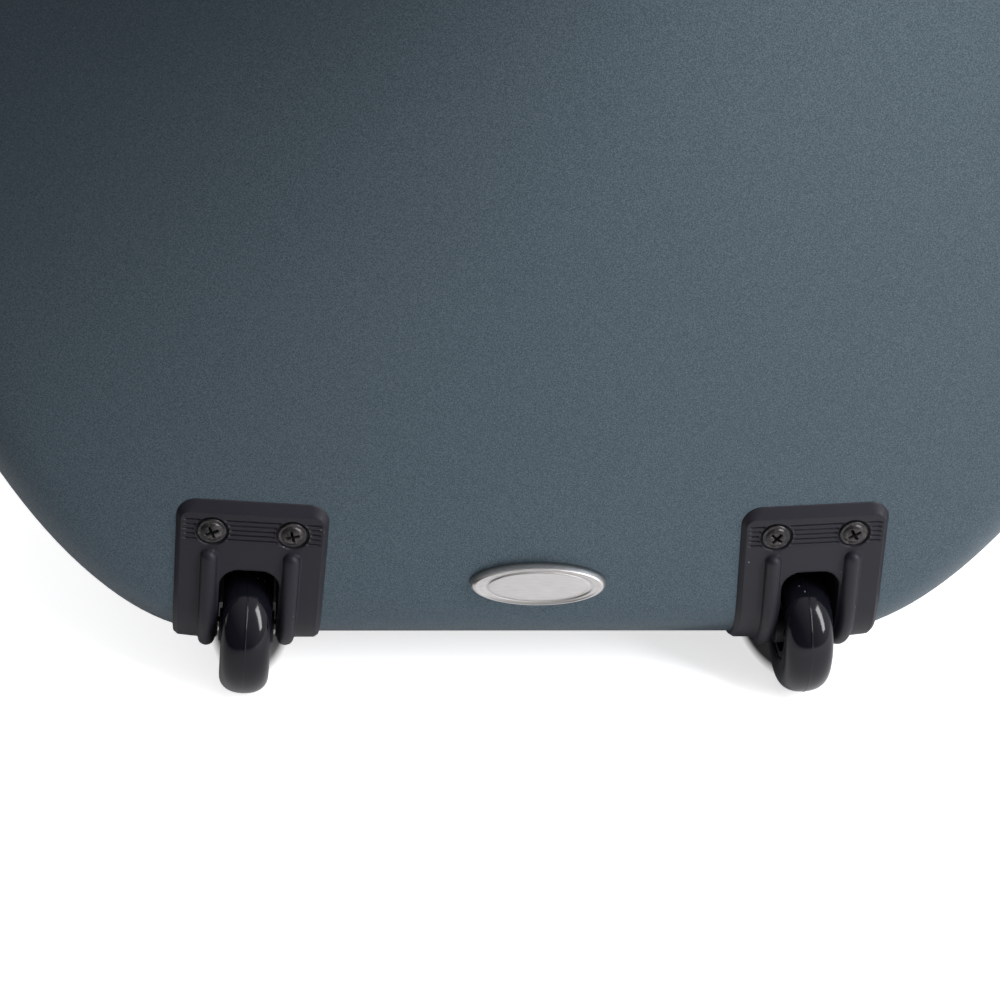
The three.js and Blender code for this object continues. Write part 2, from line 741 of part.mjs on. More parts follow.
addPiece('back_lining', cut(lining(shellHalves.back), ...wellCuts), plush);
addPiece('lid_lining', lining(shellHalves.lid), plush);

// Rims: channels that sit over the shell edges; the lid's one holds the seal in a groove
const rimNear = partingGap / 2;
const rimInner = shellWall + rimInnerWall;
const channelSection = [
  [rimInner, rimNear], [rimInner, rimReach], [shellWall + gap, rimReach],
  [shellWall + gap, edgeSetback - gap], [-gap, edgeSetback - gap], [-gap, rimReach],
  [-rimOuterWall, rimReach], [-rimOuterWall, rimNear],
];
const sealStart = (shellWall - sealWidth) / 2;
const sealEnd = sealStart + sealWidth;
const grooveFloor = rimNear + sealDepth + gap;
const sealGrooveSection = [
  [sealStart - gap, rimNear], [sealStart - gap, grooveFloor],
  [sealEnd + gap, grooveFloor], [sealEnd + gap, rimNear],
];
const sealSection = [
  [sealStart, rimNear], [sealEnd, rimNear], [sealEnd, rimNear + sealDepth], [sealStart, rimNear + sealDepth],
];
addPiece('back_rim', sweptSection(shellHalves.back, channelSection), rimPlastic);
addPiece('lid_rim', sweptSection(shellHalves.lid, [...channelSection, ...sealGrooveSection]), rimPlastic);
addPiece('rim_seal', sweptSection(shellHalves.lid, sealSection), footRubber);

// Rubber feet under the back shell
function foot() {
  const height = groundClearance - gap;
  return solidOf(new THREE.LatheGeometry([
    point(0, 0), point(footRadius - footChamfer, 0), point(footRadius, footChamfer),
    point(footTopRadius, height), point(0, height),
  ], 16), turned(axisX, quarterTurn));
}

for (const [sideName, side] of Object.entries(sides)) {
  addPiece(`foot_${sideName}`, foot(), footRubber, at(side * footSpacing / 2, -footSetback, 0));
}

// The point of the outline's right half at a height, above the widest part of the bottom
function outlineAt(rise) {
  const curves = outlineCurves.slice(1).map(({ curve }) => curve);
  const curve = curves.find((one) => one.getPoint(1).y >= rise);
  let [low, high] = [0, 1];
  for (let i = 0; i < 40; i += 1) {
    const middle = (low + high) / 2;
    if (curve.getPoint(middle).y < rise) low = middle;
    else high = middle;
  }
  return { place: curve.getPoint(low), tangent: curve.getTangent(low) };
}

// A frame on the shell's side at a height: x outwards, y towards the lid, z along the side
function sideFrame(side, rise) {
  const { place, tangent } = outlineAt(rise);
  const outward = new THREE.Vector3(side * tangent.y, 0, -tangent.x);
  const along = new THREE.Vector3().crossVectors(outward, axisY);
  return basis(outward, axisY, along).setPosition(side * place.x, 0, place.y + groundClearance);
}

const rimGrown = {
  back: caseBody(shellHalves.back, rimOuterWall + gap, -overrun).intersect(
    depthSlab(shellHalves.back, -overrun, rimReach + gap)),
  lid: caseBody(shellHalves.lid, rimOuterWall + gap, -overrun).intersect(
    depthSlab(shellHalves.lid, -overrun, rimReach + gap)),
};

// Seats a local solid on a shell: places it, then cuts away what would sit inside the shell or its rim
function seated(solid, matrix, halfName) {
  return cut(moved(solid, matrix), outerGrown[halfName], rimGrown[halfName]);
}

// Hinges: y runs across the leaves, z along the axis
function hingeLeaf(way) {
  const topHeight = rimOuterWall + gap + leafThickness;
  const near = knuckleRadius + gap * 2;
  const half = hingeLength / 2;
  const third = hingeLength / 6;
  const leafShape = roundedRectangle(-half, half, near - leafCornerRadius * 2, leafReach, leafCornerRadius);
  const plate = moved(slab(leafShape, topHeight + overrun), chain(
    at(-overrun, 0, 0), basis(axisZ, axisY.clone().multiplyScalar(way), axisX)));
  const [clear0, clear1] = [-way * farSide, way * near].sort((a, b) => a - b);
  const trimmed = cut(plate, block(-farSide, farSide, clear0, clear1, -farSide, farSide));
  const spans = way > 0
    ? [[-third + gap / 2, third - gap / 2]]
    : [[-half, -third - gap / 2], [third + gap / 2, half]];
  const knuckles = spans.map(([z0, z1]) => {
    const barrel = moved(bar(knuckleRadius, z1 - z0, 'z'), at(hingeOffset, 0, (z0 + z1) / 2));
    const [y0, y1] = [0, way * (near + leafThickness)].sort((a, b) => a - b);
    const web = block(rimOuterWall + gap, hingeOffset - hingePinRadius - gap * 2, y0, y1, z0, z1);
    return barrel.add(web);
  });
  const bore = moved(bar(hingePinRadius + gap, hingeLength * 2, 'z'), at(hingeOffset, 0, 0));
  return cut(joined(trimmed, ...knuckles), bore);
}

function hingePin() {
  const shank = bar(hingePinRadius, hingeLength + gap * 2 + hingePinHeadHeight, 'z');
  const headPlace = hingeLength / 2 + gap + hingePinHeadHeight / 2;
  const heads = [-1, 1].map((way) => moved(
    bar(hingePinHeadRadius, hingePinHeadHeight, 'z'), at(0, 0, way * headPlace)));
  return moved(joined(shank, ...heads), at(hingeOffset, 0, 0));
}

for (const [place, sideShare] of Object.entries(hingeSideShares)) {
  const frame = sideFrame(sides.right, THREE.MathUtils.lerp(sideStartRise, sideEndRise, sideShare));
  addPiece(`hinge_${place}_back_leaf`, seated(hingeLeaf(-1), frame, 'back'), platedSteel);
  addPiece(`hinge_${place}_lid_leaf`, seated(hingeLeaf(1), frame, 'lid'), platedSteel);
  addPiece(`hinge_${place}_pin`, hingePin(), platedSteel, frame);
}

// Draw latches: x outwards from the shell, y towards the lid, z along the side
function latchBase() {
  const half = latchBaseWidth / 2;
  const plateShape = roundedRectangle(-half, half, -latchBaseEnd, -latchBaseStart, leafCornerRadius);
  const plate = moved(slab(plateShape, latchBaseThickness + overrun), chain(
    at(-overrun, 0, 0), basis(axisZ, axisY, axisX)));
  const ears = [-1, 1].map((way) => {
    const middle = way * (latchEarInside + latchEarThickness / 2);
    const disc = moved(bar(latchEarRadius, latchEarThickness, 'z'),
      at(latchPivotHeight, -latchPivotBack, middle));
    const post = block(
      0, latchPivotHeight, -latchPivotBack - latchEarRadius, -latchPivotBack + latchEarRadius,
      middle - latchEarThickness / 2, middle + latchEarThickness / 2);
    return disc.add(post);
  });
  const bore = moved(bar(latchPivotRadius + gap, latchBaseWidth * 2, 'z'),
    at(latchPivotHeight, -latchPivotBack, 0));
  return cut(joined(plate, ...ears), bore);
}

function latchLever() {
  const cheekOut = leverCheekInside + leverCheekThickness;
  const cheekFront = -latchPivotBack + latchEarRadius - gap;
  const cheekShape = new THREE.Shape();
  cheekShape.moveTo(cheekFront, latchPivotHeight - latchPivotRadius * cheekDropShare);
  cheekShape.lineTo(cheekFront, leverTopHeight);
  cheekShape.lineTo(-leverPlateEnd, leverTopHeight + leverTipRise);
  cheekShape.lineTo(-leverPlateEnd, leverTopHeight + leverTipRise - leverPlateThickness);
  cheekShape.lineTo(-leverPlateStart - leverCheekHeight, latchBaseThickness + gap * 4);
  cheekShape.lineTo(-bailPivotBack + latchPivotRadius, latchBaseThickness + gap * 4);
  const toYX = (z) => chain(at(0, 0, z), basis(axisY, axisX, axisZ.clone().negate()));
  const cheeks = [-cheekOut + leverCheekThickness, cheekOut].map((z) =>
    moved(slab(cheekShape, leverCheekThickness), toYX(z)));
  const plateShape = new THREE.Shape();
  plateShape.moveTo(-leverPlateStart, leverTopHeight - leverPlateThickness);
  plateShape.lineTo(-leverPlateStart, leverTopHeight);
  plateShape.lineTo(-leverPlateEnd, leverTopHeight + leverTipRise);
  plateShape.lineTo(-leverPlateEnd, leverTopHeight + leverTipRise - leverPlateThickness);
  const plate = moved(slab(plateShape, cheekOut * 2), toYX(cheekOut));
  const trunnion = bar(latchPivotRadius, (latchEarInside + latchEarThickness) * 2, 'z');
  const trunnionGap = bar(latchPivotRadius + gap, leverCheekInside * 2, 'z');
  const axlePlace = at(latchPivotHeight, -latchPivotBack, 0);
  const bailPin = moved(bar(latchPivotRadius, cheekOut * 2, 'z'), at(bailPivotHeight, -bailPivotBack, 0));
  const body = joined(...cheeks, plate, moved(trunnion, axlePlace), bailPin);
  return cut(body, moved(trunnionGap, axlePlace));
}

function latchBail() {
  const eyeRadius = latchPivotRadius + gap + bailWire;
  const pivot = (side) => new THREE.Vector3(bailPivotHeight, -bailPivotBack, side * bailArmOffset);
  const corner = (side) => new THREE.Vector3(bailCrossHeight, bailCrossForward, side * bailArmOffset);
  const forward = corner(1).sub(pivot(1)).normalize();
  const inPlane = new THREE.Vector3().crossVectors(forward, axisZ).normalize();
  const bend = bailWire * bailBendShare;
  const bendAt = (side, startAngle, endAngle) => bendStations(
    corner(side).addScaledVector(forward, -bend).addScaledVector(axisZ, -side * bend),
    forward, axisZ, bend, startAngle, endAngle, 2, bailWire);
  const end = (side, way) => ({
    centre: pivot(side), along: forward.clone().multiplyScalar(way), radius: bailWire,
  });
  const wire = tube([
    end(-1, 1), ...bendAt(-1, -90, 0), ...bendAt(1, 0, 90), end(1, -1),
  ], 6, inPlane);
  const eyes = [-1, 1].map((side) => moved(bar(eyeRadius, bailWire * 2, 'z', 8), at(...pivot(side))));
  const bore = moved(bar(latchPivotRadius + gap, bailArmOffset * 4, 'z', 8),
    at(bailPivotHeight, -bailPivotBack, 0));
  return cut(joined(wire, ...eyes), bore);
}

function latchKeeper() {
  const base = rimOuterWall + gap + keeperThickness;
  const foot = block(-overrun, base, gap * 2, keeperLength, -keeperWidth / 2, keeperWidth / 2);
  const armGap = bailArmOffset - bailWire - gap * 3;
  const ridge = block(
    0, keeperRidgeHeight + keeperThickness, keeperRidgeStart, keeperRidgeEnd, -armGap, armGap);
  const relief = [-1, 1].map((way) => {
    const [z0, z1] = [way * armGap, way * (bailArmOffset + bailWire + gap * 3)].sort((a, b) => a - b);
    return block(bailCrossHeight - bailWire - gap * 3, base + overrun, -overrun, bailCrossForward, z0, z1);
  });
  const crossRelief = block(bailCrossHeight - bailWire - gap * 3, base + overrun,
    keeperRidgeEnd, bailCrossForward + bailWire + gap * 3, -keeperWidth, keeperWidth);
  return cut(joined(cut(foot, ...relief, crossRelief), ridge), crossRelief);
}

for (const [place, heightShare] of Object.entries(latchRiseShares)) {
  const frame = sideFrame(sides.left, riseOf(heightShare));
  addPiece(`latch_${place}_base`, seated(latchBase(), frame, 'back'), platedSteel);
  addPiece(`latch_${place}_lever`, latchLever(), platedSteel, frame);
  addPiece(`latch_${place}_bail`, latchBail(), platedSteel, frame);
  addPiece(`latch_${place}_keeper`, seated(latchKeeper(), frame, 'lid'), platedSteel);
}

// Handles: x outwards from the shell, z along the pivots, the grip folded towards -y or +y
function handleBase(span) {
  const half = span / 2 + handleBaseMargin;
  const plateShape = roundedRectangle(
    -half, half, -handleBaseWidth / 2, handleBaseWidth / 2, leafCornerRadius);
  const plate = moved(slab(plateShape, handleBaseThickness + overrun * 2), chain(
    at(-overrun * 2, 0, 0), basis(axisZ, axisY, axisX)));
  const lugs = [-1, 1].map((way) => {
    const middle = way * (span / 2 + handleLugThickness);
    const disc = moved(bar(handleLugRadius, handleLugThickness, 'z'), at(handlePivotHeight, 0, middle));
    const post = block(0, handlePivotHeight, -handleLugRadius, handleLugRadius,
      middle - handleLugThickness / 2, middle + handleLugThickness / 2);
    return disc.add(post);
  });
  const bores = [-1, 1].map((way) => moved(bar(handlePinRadius + gap, handleLugThickness * 2, 'z'),
    at(handlePivotHeight, 0, way * (span / 2 + handleLugThickness))));
  return cut(joined(plate, ...lugs), ...bores);
}

function handleGrip(span) {
  const half = span / 2 - handleArmRadius;
  const lean = Math.atan2(handleLift, handleReach);
  const outwards = new THREE.Vector3(Math.sin(lean), -Math.cos(lean), 0);
  const sideways = new THREE.Vector3(Math.cos(lean), Math.sin(lean), 0);
  const pivot = (z) => new THREE.Vector3(handlePivotHeight, 0, z);
  const bend = handleReach / 3;
  const bendAt = (side, startAngle, endAngle) => bendStations(
    pivot(side * (half - bend)).addScaledVector(outwards, handleReach - bend),
    outwards, axisZ, bend, startAngle, endAngle, 2, handleArmRadius);
  const end = (side, way) => ({
    centre: pivot(side * half), along: outwards.clone().multiplyScalar(way), radius: handleArmRadius,
  });
  const bow = tube([
    end(-1, 1), ...bendAt(-1, -90, 0), ...bendAt(1, 0, 90), end(1, -1),
  ], 8, sideways);
  const pinReach = handleArmRadius + handleLugThickness * handlePinReachShare;
  const ends = [-1, 1].map((way) => {
    const pin = moved(bar(handlePinRadius, pinReach, 'z'),
      at(handlePivotHeight, 0, way * (half + pinReach / 2)));
    const eye = moved(bar(handleEyeRadius, handleArmRadius * 2, 'z'), at(handlePivotHeight, 0, way * half));
    return pin.add(eye);
  });
  const gripHalf = (span / 2) * handleGripLengthShare;
  const grip = moved(solidOf(new THREE.LatheGeometry([
    point(0, -gripHalf), point(handleArmRadius, -gripHalf),
    point(handleGripRadius, -gripHalf + handleGripRadius),
    point(handleGripRadius, gripHalf - handleGripRadius),
    point(handleArmRadius, gripHalf), point(0, gripHalf),
  ], 10), turned(axisX, quarterTurn)), at(...pivot(0).addScaledVector(outwards, handleReach)));
  return joined(bow, ...ends, grip);
}

const sideHandleFrame = chain(
  sideFrame(sides.left, riseOf(handleRiseShares.side)), at(0, -sideHandleDepth, 0));
addPiece('side_handle_base', seated(handleBase(sideHandleSpan), sideHandleFrame, 'back'), rimPlastic);
addPiece('side_handle_grip', handleGrip(sideHandleSpan), footRubber, sideHandleFrame);

// A frame on the back at a place: x outwards, y upwards, z to the left as seen from outside
const backBody = caseBody(shellHalves.back, 0, -overrun);
const probeReach = 8;

function backPoint(x, rise) {
  const z = rise + groundClearance;
  const column = block(x - gap, x + gap, -farDepth, 0, z - gap, z + gap).intersect(backBody);
  return new THREE.Vector3(x, column.boundingBox().min[1], z);
}

function backFrame(x, rise) {
  const across = backPoint(x - probeReach, rise).sub(backPoint(x + probeReach, rise)).normalize();
  const up = backPoint(x, rise + probeReach).sub(backPoint(x, rise - probeReach)).normalize();
  const outward = new THREE.Vector3().crossVectors(up, across).normalize();
  return basis(outward, new THREE.Vector3().crossVectors(across, outward), across)
    .setPosition(backPoint(x, rise));
}

const neckHandleFrame = backFrame(0, riseOf(handleRiseShares.neck));
addPiece('neck_handle_base', seated(handleBase(neckHandleSpan), neckHandleFrame, 'back'), rimPlastic);
addPiece('neck_handle_grip', handleGrip(neckHandleSpan), footRubber, neckHandleFrame);

// The bare oval plate: bonded flat to the back between the wheels, its face bevelled all round
function ovalPlate() {
  const shape = new THREE.Shape();
  const halfWidth = ovalPlateHalfWidth - ovalPlateBevel;
  const halfHeight = ovalPlateHalfHeight - ovalPlateBevel;
  shape.absellipse(0, 0, halfWidth, halfHeight, 0, Math.PI * 2);
  return solidOf(new THREE.ExtrudeGeometry(shape, {
    depth: ovalPlateThickness - ovalPlateBevel,
    curveSegments: 28,
    bevelThickness: ovalPlateBevel,
    bevelSize: ovalPlateBevel,
    bevelSegments: 1,
  }), alongY);
}

const ovalPlateBox = ovalPlate().boundingBox();
addPiece('oval_plate', ovalPlate(), platedSteel, at(
  ovalPlateOffset, backPoint(ovalPlateOffset, ovalPlateRise).y - gap - ovalPlateBox.max[1],
  ovalPlateRise + groundClearance));

// Strap rings: x outwards, y up, z along the ring's straight side
function ringAnchor() {
  const plateShape = roundedRectangle(
    -anchorWidth / 2, anchorWidth / 2, -anchorHeight / 2, anchorHeight / 2, anchorCornerRadius);
  const plate = moved(slab(plateShape, anchorThickness + overrun * 2), chain(
    at(-overrun * 2, 0, 0), basis(axisZ, axisY, axisX)));
  const loopRadius = ringWire + gap + anchorLoopWall;
  const loop = moved(bar(loopRadius, anchorLoopWidth, 'z'), at(anchorThickness + loopRadius, 0, 0));
  const neck = block(0, anchorThickness + loopRadius, -loopRadius, loopRadius,
    -anchorLoopWidth / 2, anchorLoopWidth / 2);
  const bore = moved(bar(ringWire + gap, anchorLoopWidth * 2, 'z'), at(anchorThickness + loopRadius, 0, 0));
  return cut(joined(plate, loop, neck), bore);
}

const ringHeight = anchorThickness + ringWire + gap + anchorLoopWall;

function strapRing() {
  const half = ringInnerWidth / 2 + ringWire;
  const down = axisY.clone().negate();
  const corner = ringWire * 2;
  const spot = (drop, side) => new THREE.Vector3(ringHeight, -drop, side);
  return tube([
    ...bendStations(spot(corner, half - corner), down, axisZ, corner, 180, 90, 2, ringWire),
    ...bendStations(spot(ringDrop - half, 0), down, axisZ, half, 90, -90, 6, ringWire),
    ...bendStations(spot(corner, corner - half), down, axisZ, corner, 270, 180, 2, ringWire),
  ], 6, axisX, true);
}

for (const [level, half] of Object.entries(ringHalves)) {
  for (const [sideName, side] of Object.entries(sides)) {
    const frame = backFrame(side * half, riseOf(ringRiseShares[level]));
    addPiece(`strap_anchor_${level}_${sideName}`, seated(ringAnchor(), frame, 'back'), blackSteel);
    addPiece(`strap_ring_${level}_${sideName}`, strapRing(), platedSteel, frame);
  }
}

// Inside the back: the endpin block, four side pads and the neck cradle, each cut to the lining's face
const inBack = (solid) => solid.intersect(cavity.back);

function endpinBlock() {
  const half = endpinBlockWidth / 2;
  const top = shellWall + liningThickness + endpinBlockHeight;
  const body = block(-half, half, -farDepth, -endpinBlockFront, 0, top + groundClearance);
  const hole = moved(bar(endpinHoleRadius, endpinHoleDepth * 2, 'z', 20),
    at(0, -endpinHoleSetback, top + groundClearance));
  return cut(inBack(body), hole);
}

addPiece('endpin_block', cut(endpinBlock(), ...wellCuts), cushionPlush);

for (const [level, heightShare] of Object.entries(padRiseShares)) {
  for (const [sideName, side] of Object.entries(sides)) {
    const frame = chain(sideFrame(side, riseOf(heightShare)),
      at(-liningInset - liningThickness, -padMiddleDepth, 0));
    const pillow = solidOf(new THREE.SphereGeometry(1, 16, 8), chain(
      frame, new THREE.Matrix4().makeScale(padSwell, padHalfDepth, padHalfLengths[level])));
    addPiece(`${level}_pad_${sideName}`, inBack(pillow), cushionPlush);
  }
}

function neckCradle() {
  const z0 = riseOf(cradleRiseShare) + groundClearance;
  const notchFloor = -cradleFront - cradleNotchDepth + cradleNotchHalf;
  const body = block(-farSide, farSide, -farDepth, -cradleFront, z0, z0 + cradleLength);
  const notch = moved(bar(cradleNotchHalf, cradleLength * 3, 'z', 20), at(0, notchFloor, z0));
  const mouth = block(-cradleNotchHalf, cradleNotchHalf, notchFloor, 0,
    z0 - overrun, z0 + cradleLength + overrun);
  return cut(inBack(body), notch, mouth);
}

addPiece('neck_cradle', neckCradle(), cushionPlush);

// Inside the lid: the bow rest with two grooves, and a turning spinner over each
const bowRestFace = lidDepth - bowRestHeight;
const bowRestRise = riseOf(bowRestRiseShare);

function bowRest() {
  const z0 = bowRestRise + groundClearance;
  const body = block(-bowRestWidth / 2, bowRestWidth / 2, bowRestFace, farDepth, z0, z0 + bowRestLength);
  const grooves = [-1, 1].map((way) => {
    const x = way * bowSpacing / 2;
    return block(x - bowGrooveHalf, x + bowGrooveHalf, 0, bowRestFace + bowGrooveDepth,
      z0 - overrun, z0 + bowRestLength + overrun);
  });
  const bores = [-1, 1].map((way) => moved(
    bar(spinnerPinRadius + gap, (spinnerPinLength + gap) * 2, 'y'),
    at(way * (bowSpacing / 2 - spinnerInset), bowRestFace, z0 + bowRestLength / 2)));
  return cut(body.intersect(cavity.lid), ...grooves, ...bores);
}

function bowSpinner() {
  const half = spinnerWidth / 2;
  const shape = roundedRectangle(-half, half, half - spinnerLength, half, half - gap);
  const plate = moved(slab(shape, spinnerThickness), chain(
    at(0, -gap, 0), basis(axisX, axisZ, axisY.clone().negate())));
  const pin = moved(bar(spinnerPinRadius, spinnerPinLength + spinnerThickness / 2, 'y'),
    at(0, (spinnerPinLength - spinnerThickness / 2) / 2, 0));
  return plate.add(pin);
}

addPiece('bow_rest', bowRest(), cushionPlush);
for (const [sideName, side] of Object.entries(sides)) {
  addPiece(`bow_spinner_${sideName}`, bowSpinner(), blackSteel, at(
    side * (bowSpacing / 2 - spinnerInset), bowRestFace, bowRestRise + groundClearance + bowRestLength / 2));
}

// The origin is the middle of the case's footprint, on the floor
const extent = new THREE.Box3().setFromObject(caseGroup, true);
const middle = extent.getCenter(new THREE.Vector3());
caseGroup.position.set(-middle.x, -middle.y, -extent.min.z);
caseGroup.updateMatrixWorld(true);

export default caseGroup;
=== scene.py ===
# A hard case for a cello, standing on two wheels and two feet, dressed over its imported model.
# Lengths are in millimetres in the shells' own frame: x from the middle, y from the parting plane and z
# from the floor.
import math

import bmesh
import bpy
import numpy as np
from mathutils import Matrix, Vector
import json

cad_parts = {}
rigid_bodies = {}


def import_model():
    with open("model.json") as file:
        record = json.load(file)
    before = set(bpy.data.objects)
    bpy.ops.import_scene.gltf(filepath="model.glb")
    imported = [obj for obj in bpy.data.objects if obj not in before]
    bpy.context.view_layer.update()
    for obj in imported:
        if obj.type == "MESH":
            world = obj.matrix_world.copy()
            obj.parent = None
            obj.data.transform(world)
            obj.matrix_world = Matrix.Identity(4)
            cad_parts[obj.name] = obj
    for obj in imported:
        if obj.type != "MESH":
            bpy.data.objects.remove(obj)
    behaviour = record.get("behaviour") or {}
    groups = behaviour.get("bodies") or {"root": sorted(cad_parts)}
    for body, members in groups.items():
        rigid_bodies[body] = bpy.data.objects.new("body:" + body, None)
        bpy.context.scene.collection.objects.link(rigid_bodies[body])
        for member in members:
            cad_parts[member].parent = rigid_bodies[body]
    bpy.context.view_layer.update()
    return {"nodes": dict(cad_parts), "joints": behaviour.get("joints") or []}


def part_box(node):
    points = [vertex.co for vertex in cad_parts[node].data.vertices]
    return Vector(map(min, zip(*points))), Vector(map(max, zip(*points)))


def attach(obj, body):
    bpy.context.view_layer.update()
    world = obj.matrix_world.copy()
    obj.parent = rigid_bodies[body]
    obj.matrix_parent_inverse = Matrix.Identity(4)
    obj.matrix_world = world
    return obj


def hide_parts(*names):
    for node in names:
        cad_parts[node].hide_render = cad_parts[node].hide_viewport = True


for leftover in list(bpy.data.objects):
    bpy.data.objects.remove(leftover)
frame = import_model()
nodes = frame["nodes"]

# The two shells: deep moulded trays, 3 mm thick, that follow the outline of a cello. Their sides have
# a little draft, a round corner leads to a crowned panel, and satin metallic paint with a fine sparkle
# covers them. The back one is opened for the two wheel wells.
MM = 0.001
parting_gap = 0.3
back_low, back_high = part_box("back_shell")
middle_x = (back_low.x + back_high.x) / 2 / MM
parting_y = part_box("back_rim")[1].y / MM + parting_gap / 2
ground_clearance = back_low.z / MM
shell_height = (back_high.z - back_low.z) / MM
lower_bout_half = (back_high.x - back_low.x) / 2 / MM
bottom_flat_half, bottom_sweep = 123, 76.6
side_start_half, side_end_half, neck_start_half, neck_end_half = 253.5, 221, 100, 92
outline_rise_shares = {"bout": 0.2234, "side start": 0.3019, "side end": 0.5351,
                       "neck start": 0.7434, "neck end": 0.8906}
sweep_shares = {"bout": 0.0913, "waist": 0.0257, "shoulder": 0.0981, "head side": 0.0642}
lower_bout_rise = shell_height * outline_rise_shares["bout"]
side_start = np.array([side_start_half, shell_height * outline_rise_shares["side start"]])
side_end = np.array([side_end_half, shell_height * outline_rise_shares["side end"]])
neck_start = np.array([neck_start_half, shell_height * outline_rise_shares["neck start"]])
neck_end = np.array([neck_end_half, shell_height * outline_rise_shares["neck end"]])
lower_bout_sweep = shell_height * sweep_shares["bout"]
waist_ease = shell_height * sweep_shares["waist"]
shoulder_sweep = shell_height * sweep_shares["shoulder"]
head_side_sweep, head_top_sweep = shell_height * sweep_shares["head side"], 50
corner_radius, wall_draft, shell_wall, edge_setback = 28, 3, 3, 4
panel_rise_shares = {"crown start": 0.0717, "crown full": 0.2491, "spine low": 0.1132, "spine high": 0.9321}
crown_start_rise = shell_height * panel_rise_shares["crown start"]
crown_full_rise = shell_height * panel_rise_shares["crown full"]
spine_low_rise = shell_height * panel_rise_shares["spine low"]
spine_high_rise = shell_height * panel_rise_shares["spine high"]
shell_halves = {
    "back": {"sign": -1, "depth": 172, "head_depth": 128, "crown": 22},
    "lid": {"sign": 1, "depth": 112, "head_depth": 84, "crown": 16},
}


def bezier(points, steps):
    """Places and tangents along a cubic curve through four control points."""
    a, b, c, d = (np.array(p, float) for p in points)
    t = np.linspace(0, 1, steps + 1)[:, None]
    place = a * (1 - t) ** 3 + 3 * b * t * (1 - t) ** 2 + 3 * c * t**2 * (1 - t) + d * t**3
    tangent = (b - a) * (1 - t) ** 2 + 2 * (c - b) * t * (1 - t) + (d - c) * t**2
    return place, tangent


def outline_of_case():
    """Places and outward normals round the shell's edge, from the middle of the bottom anticlockwise."""
    bottom, bout = np.array([bottom_flat_half, 0]), np.array([lower_bout_half, lower_bout_rise])
    along = (side_end - side_start) / np.linalg.norm(side_end - side_start)
    across, up = np.array([1, 0]), np.array([0, 1])
    top = np.array([0, shell_height])
    third = 1 / 3
    curves = [
        ([0 * bottom, bottom * third, bottom * 2 * third, bottom], 8),
        ([bottom, bottom + across * bottom_sweep, bout - up * lower_bout_sweep, bout], 44),
        ([bout, bout + up * waist_ease, side_start - along * waist_ease, side_start], 8),
        ([side_start, side_start + along * waist_ease, side_end - along * waist_ease, side_end], 8),
        ([side_end, side_end + along * shoulder_sweep, neck_start - up * shoulder_sweep, neck_start], 30),
        ([neck_start, neck_start * (1 - third) + neck_end * third,
          neck_start * third + neck_end * (1 - third), neck_end], 6),
        ([neck_end, neck_end + up * head_side_sweep, top + across * head_top_sweep, top], 30),
    ]
    places, tangents = [], []
    for points, steps in curves:
        place, tangent = bezier(points, steps)
        first = 1 if places else 0
        places.extend(place[first:])
        tangents.extend(tangent[first:])
    places, tangents = np.array(places), np.array(tangents)
    normals = np.stack([tangents[:, 1], -tangents[:, 0]], 1)
    normals /= np.linalg.norm(normals, axis=1)[:, None]
    flip = np.array([-1, 1])
    return (np.concatenate([places, places[-2:0:-1] * flip]),
            np.concatenate([normals, normals[-2:0:-1] * flip]))


outline, outline_normals = outline_of_case()


def smooth_step(value, low, high):
    share = np.clip((value - low) / (high - low), 0, 1)
    return share * share * (3 - 2 * share)


def depth_at(half, rise):
    share = np.clip((rise - side_end[1]) / (neck_end[1] - side_end[1]), 0, 1)
    return half["depth"] + (half["head_depth"] - half["depth"]) * share


def crown_at(half, rise, reach, share):
    ends = smooth_step(rise, crown_start_rise, crown_full_rise) * (
        1 - smooth_step(rise, neck_end[1], spine_high_rise))
    return half["crown"] * ends * reach / lower_bout_half * share * share * (3 - 2 * share)


def case_rings(half, grow, start, wall_steps=10, arc_steps=10, panel_steps=12):
    """Rings of points from the shell's edge to its spine, on its outer face grown by `grow`."""
    depth = depth_at(half, outline[:, 1])

    def ring(distance, y):
        place = outline - outline_normals * np.broadcast_to(distance, depth.shape)[:, None]
        return np.stack([place[:, 0], np.broadcast_to(y, depth.shape), place[:, 1]], 1)

    rings = []
    for share in np.linspace(0, 1, wall_steps + 1)[:-1]:
        y = start + share * (depth - corner_radius - start)
        rings.append(ring(wall_draft * y / (depth - corner_radius) - grow, y))
    for angle in np.linspace(0, math.pi / 2, arc_steps + 1):
        rings.append(ring(wall_draft + corner_radius - (corner_radius + grow) * math.cos(angle),
                          depth - corner_radius + (corner_radius + grow) * math.sin(angle)))
    edge = ring(wall_draft + corner_radius, depth)
    spine = np.clip(outline[:, 1], spine_low_rise, spine_high_rise)
    climbing = slice(1, len(outline) // 2)
    side_reach = np.interp(spine, edge[climbing, 2], edge[climbing, 0])
    for share in np.linspace(0, 1, panel_steps + 1)[1:]:
        rise = edge[:, 2] + (spine - edge[:, 2]) * share
        y = depth + (depth_at(half, spine) - depth) * share + grow
        reach = np.abs(edge[:, 0]) * (1 - share) + side_reach * share
        y = y + crown_at(half, rise, reach, share)
        rings.append(np.stack([edge[:, 0] * (1 - share), y, rise], 1))
    for one in rings:
        one[:, 1] *= half["sign"]
        one[:, 2] += ground_clearance
    return rings


def in_row_frame(points):
    return (np.asarray(points, float) + [middle_x, parting_y, 0]) * MM


def in_place(points, place):
    """Points of a local frame, in millimetres, at its place in the row frame."""
    turn = np.array(place.to_3x3())
    return np.asarray(points, float) * MM @ turn.T + np.array(place.translation)


def new_object(name, data):
    thing = bpy.data.objects.new(name, data)
    bpy.context.scene.collection.objects.link(thing)
    return thing


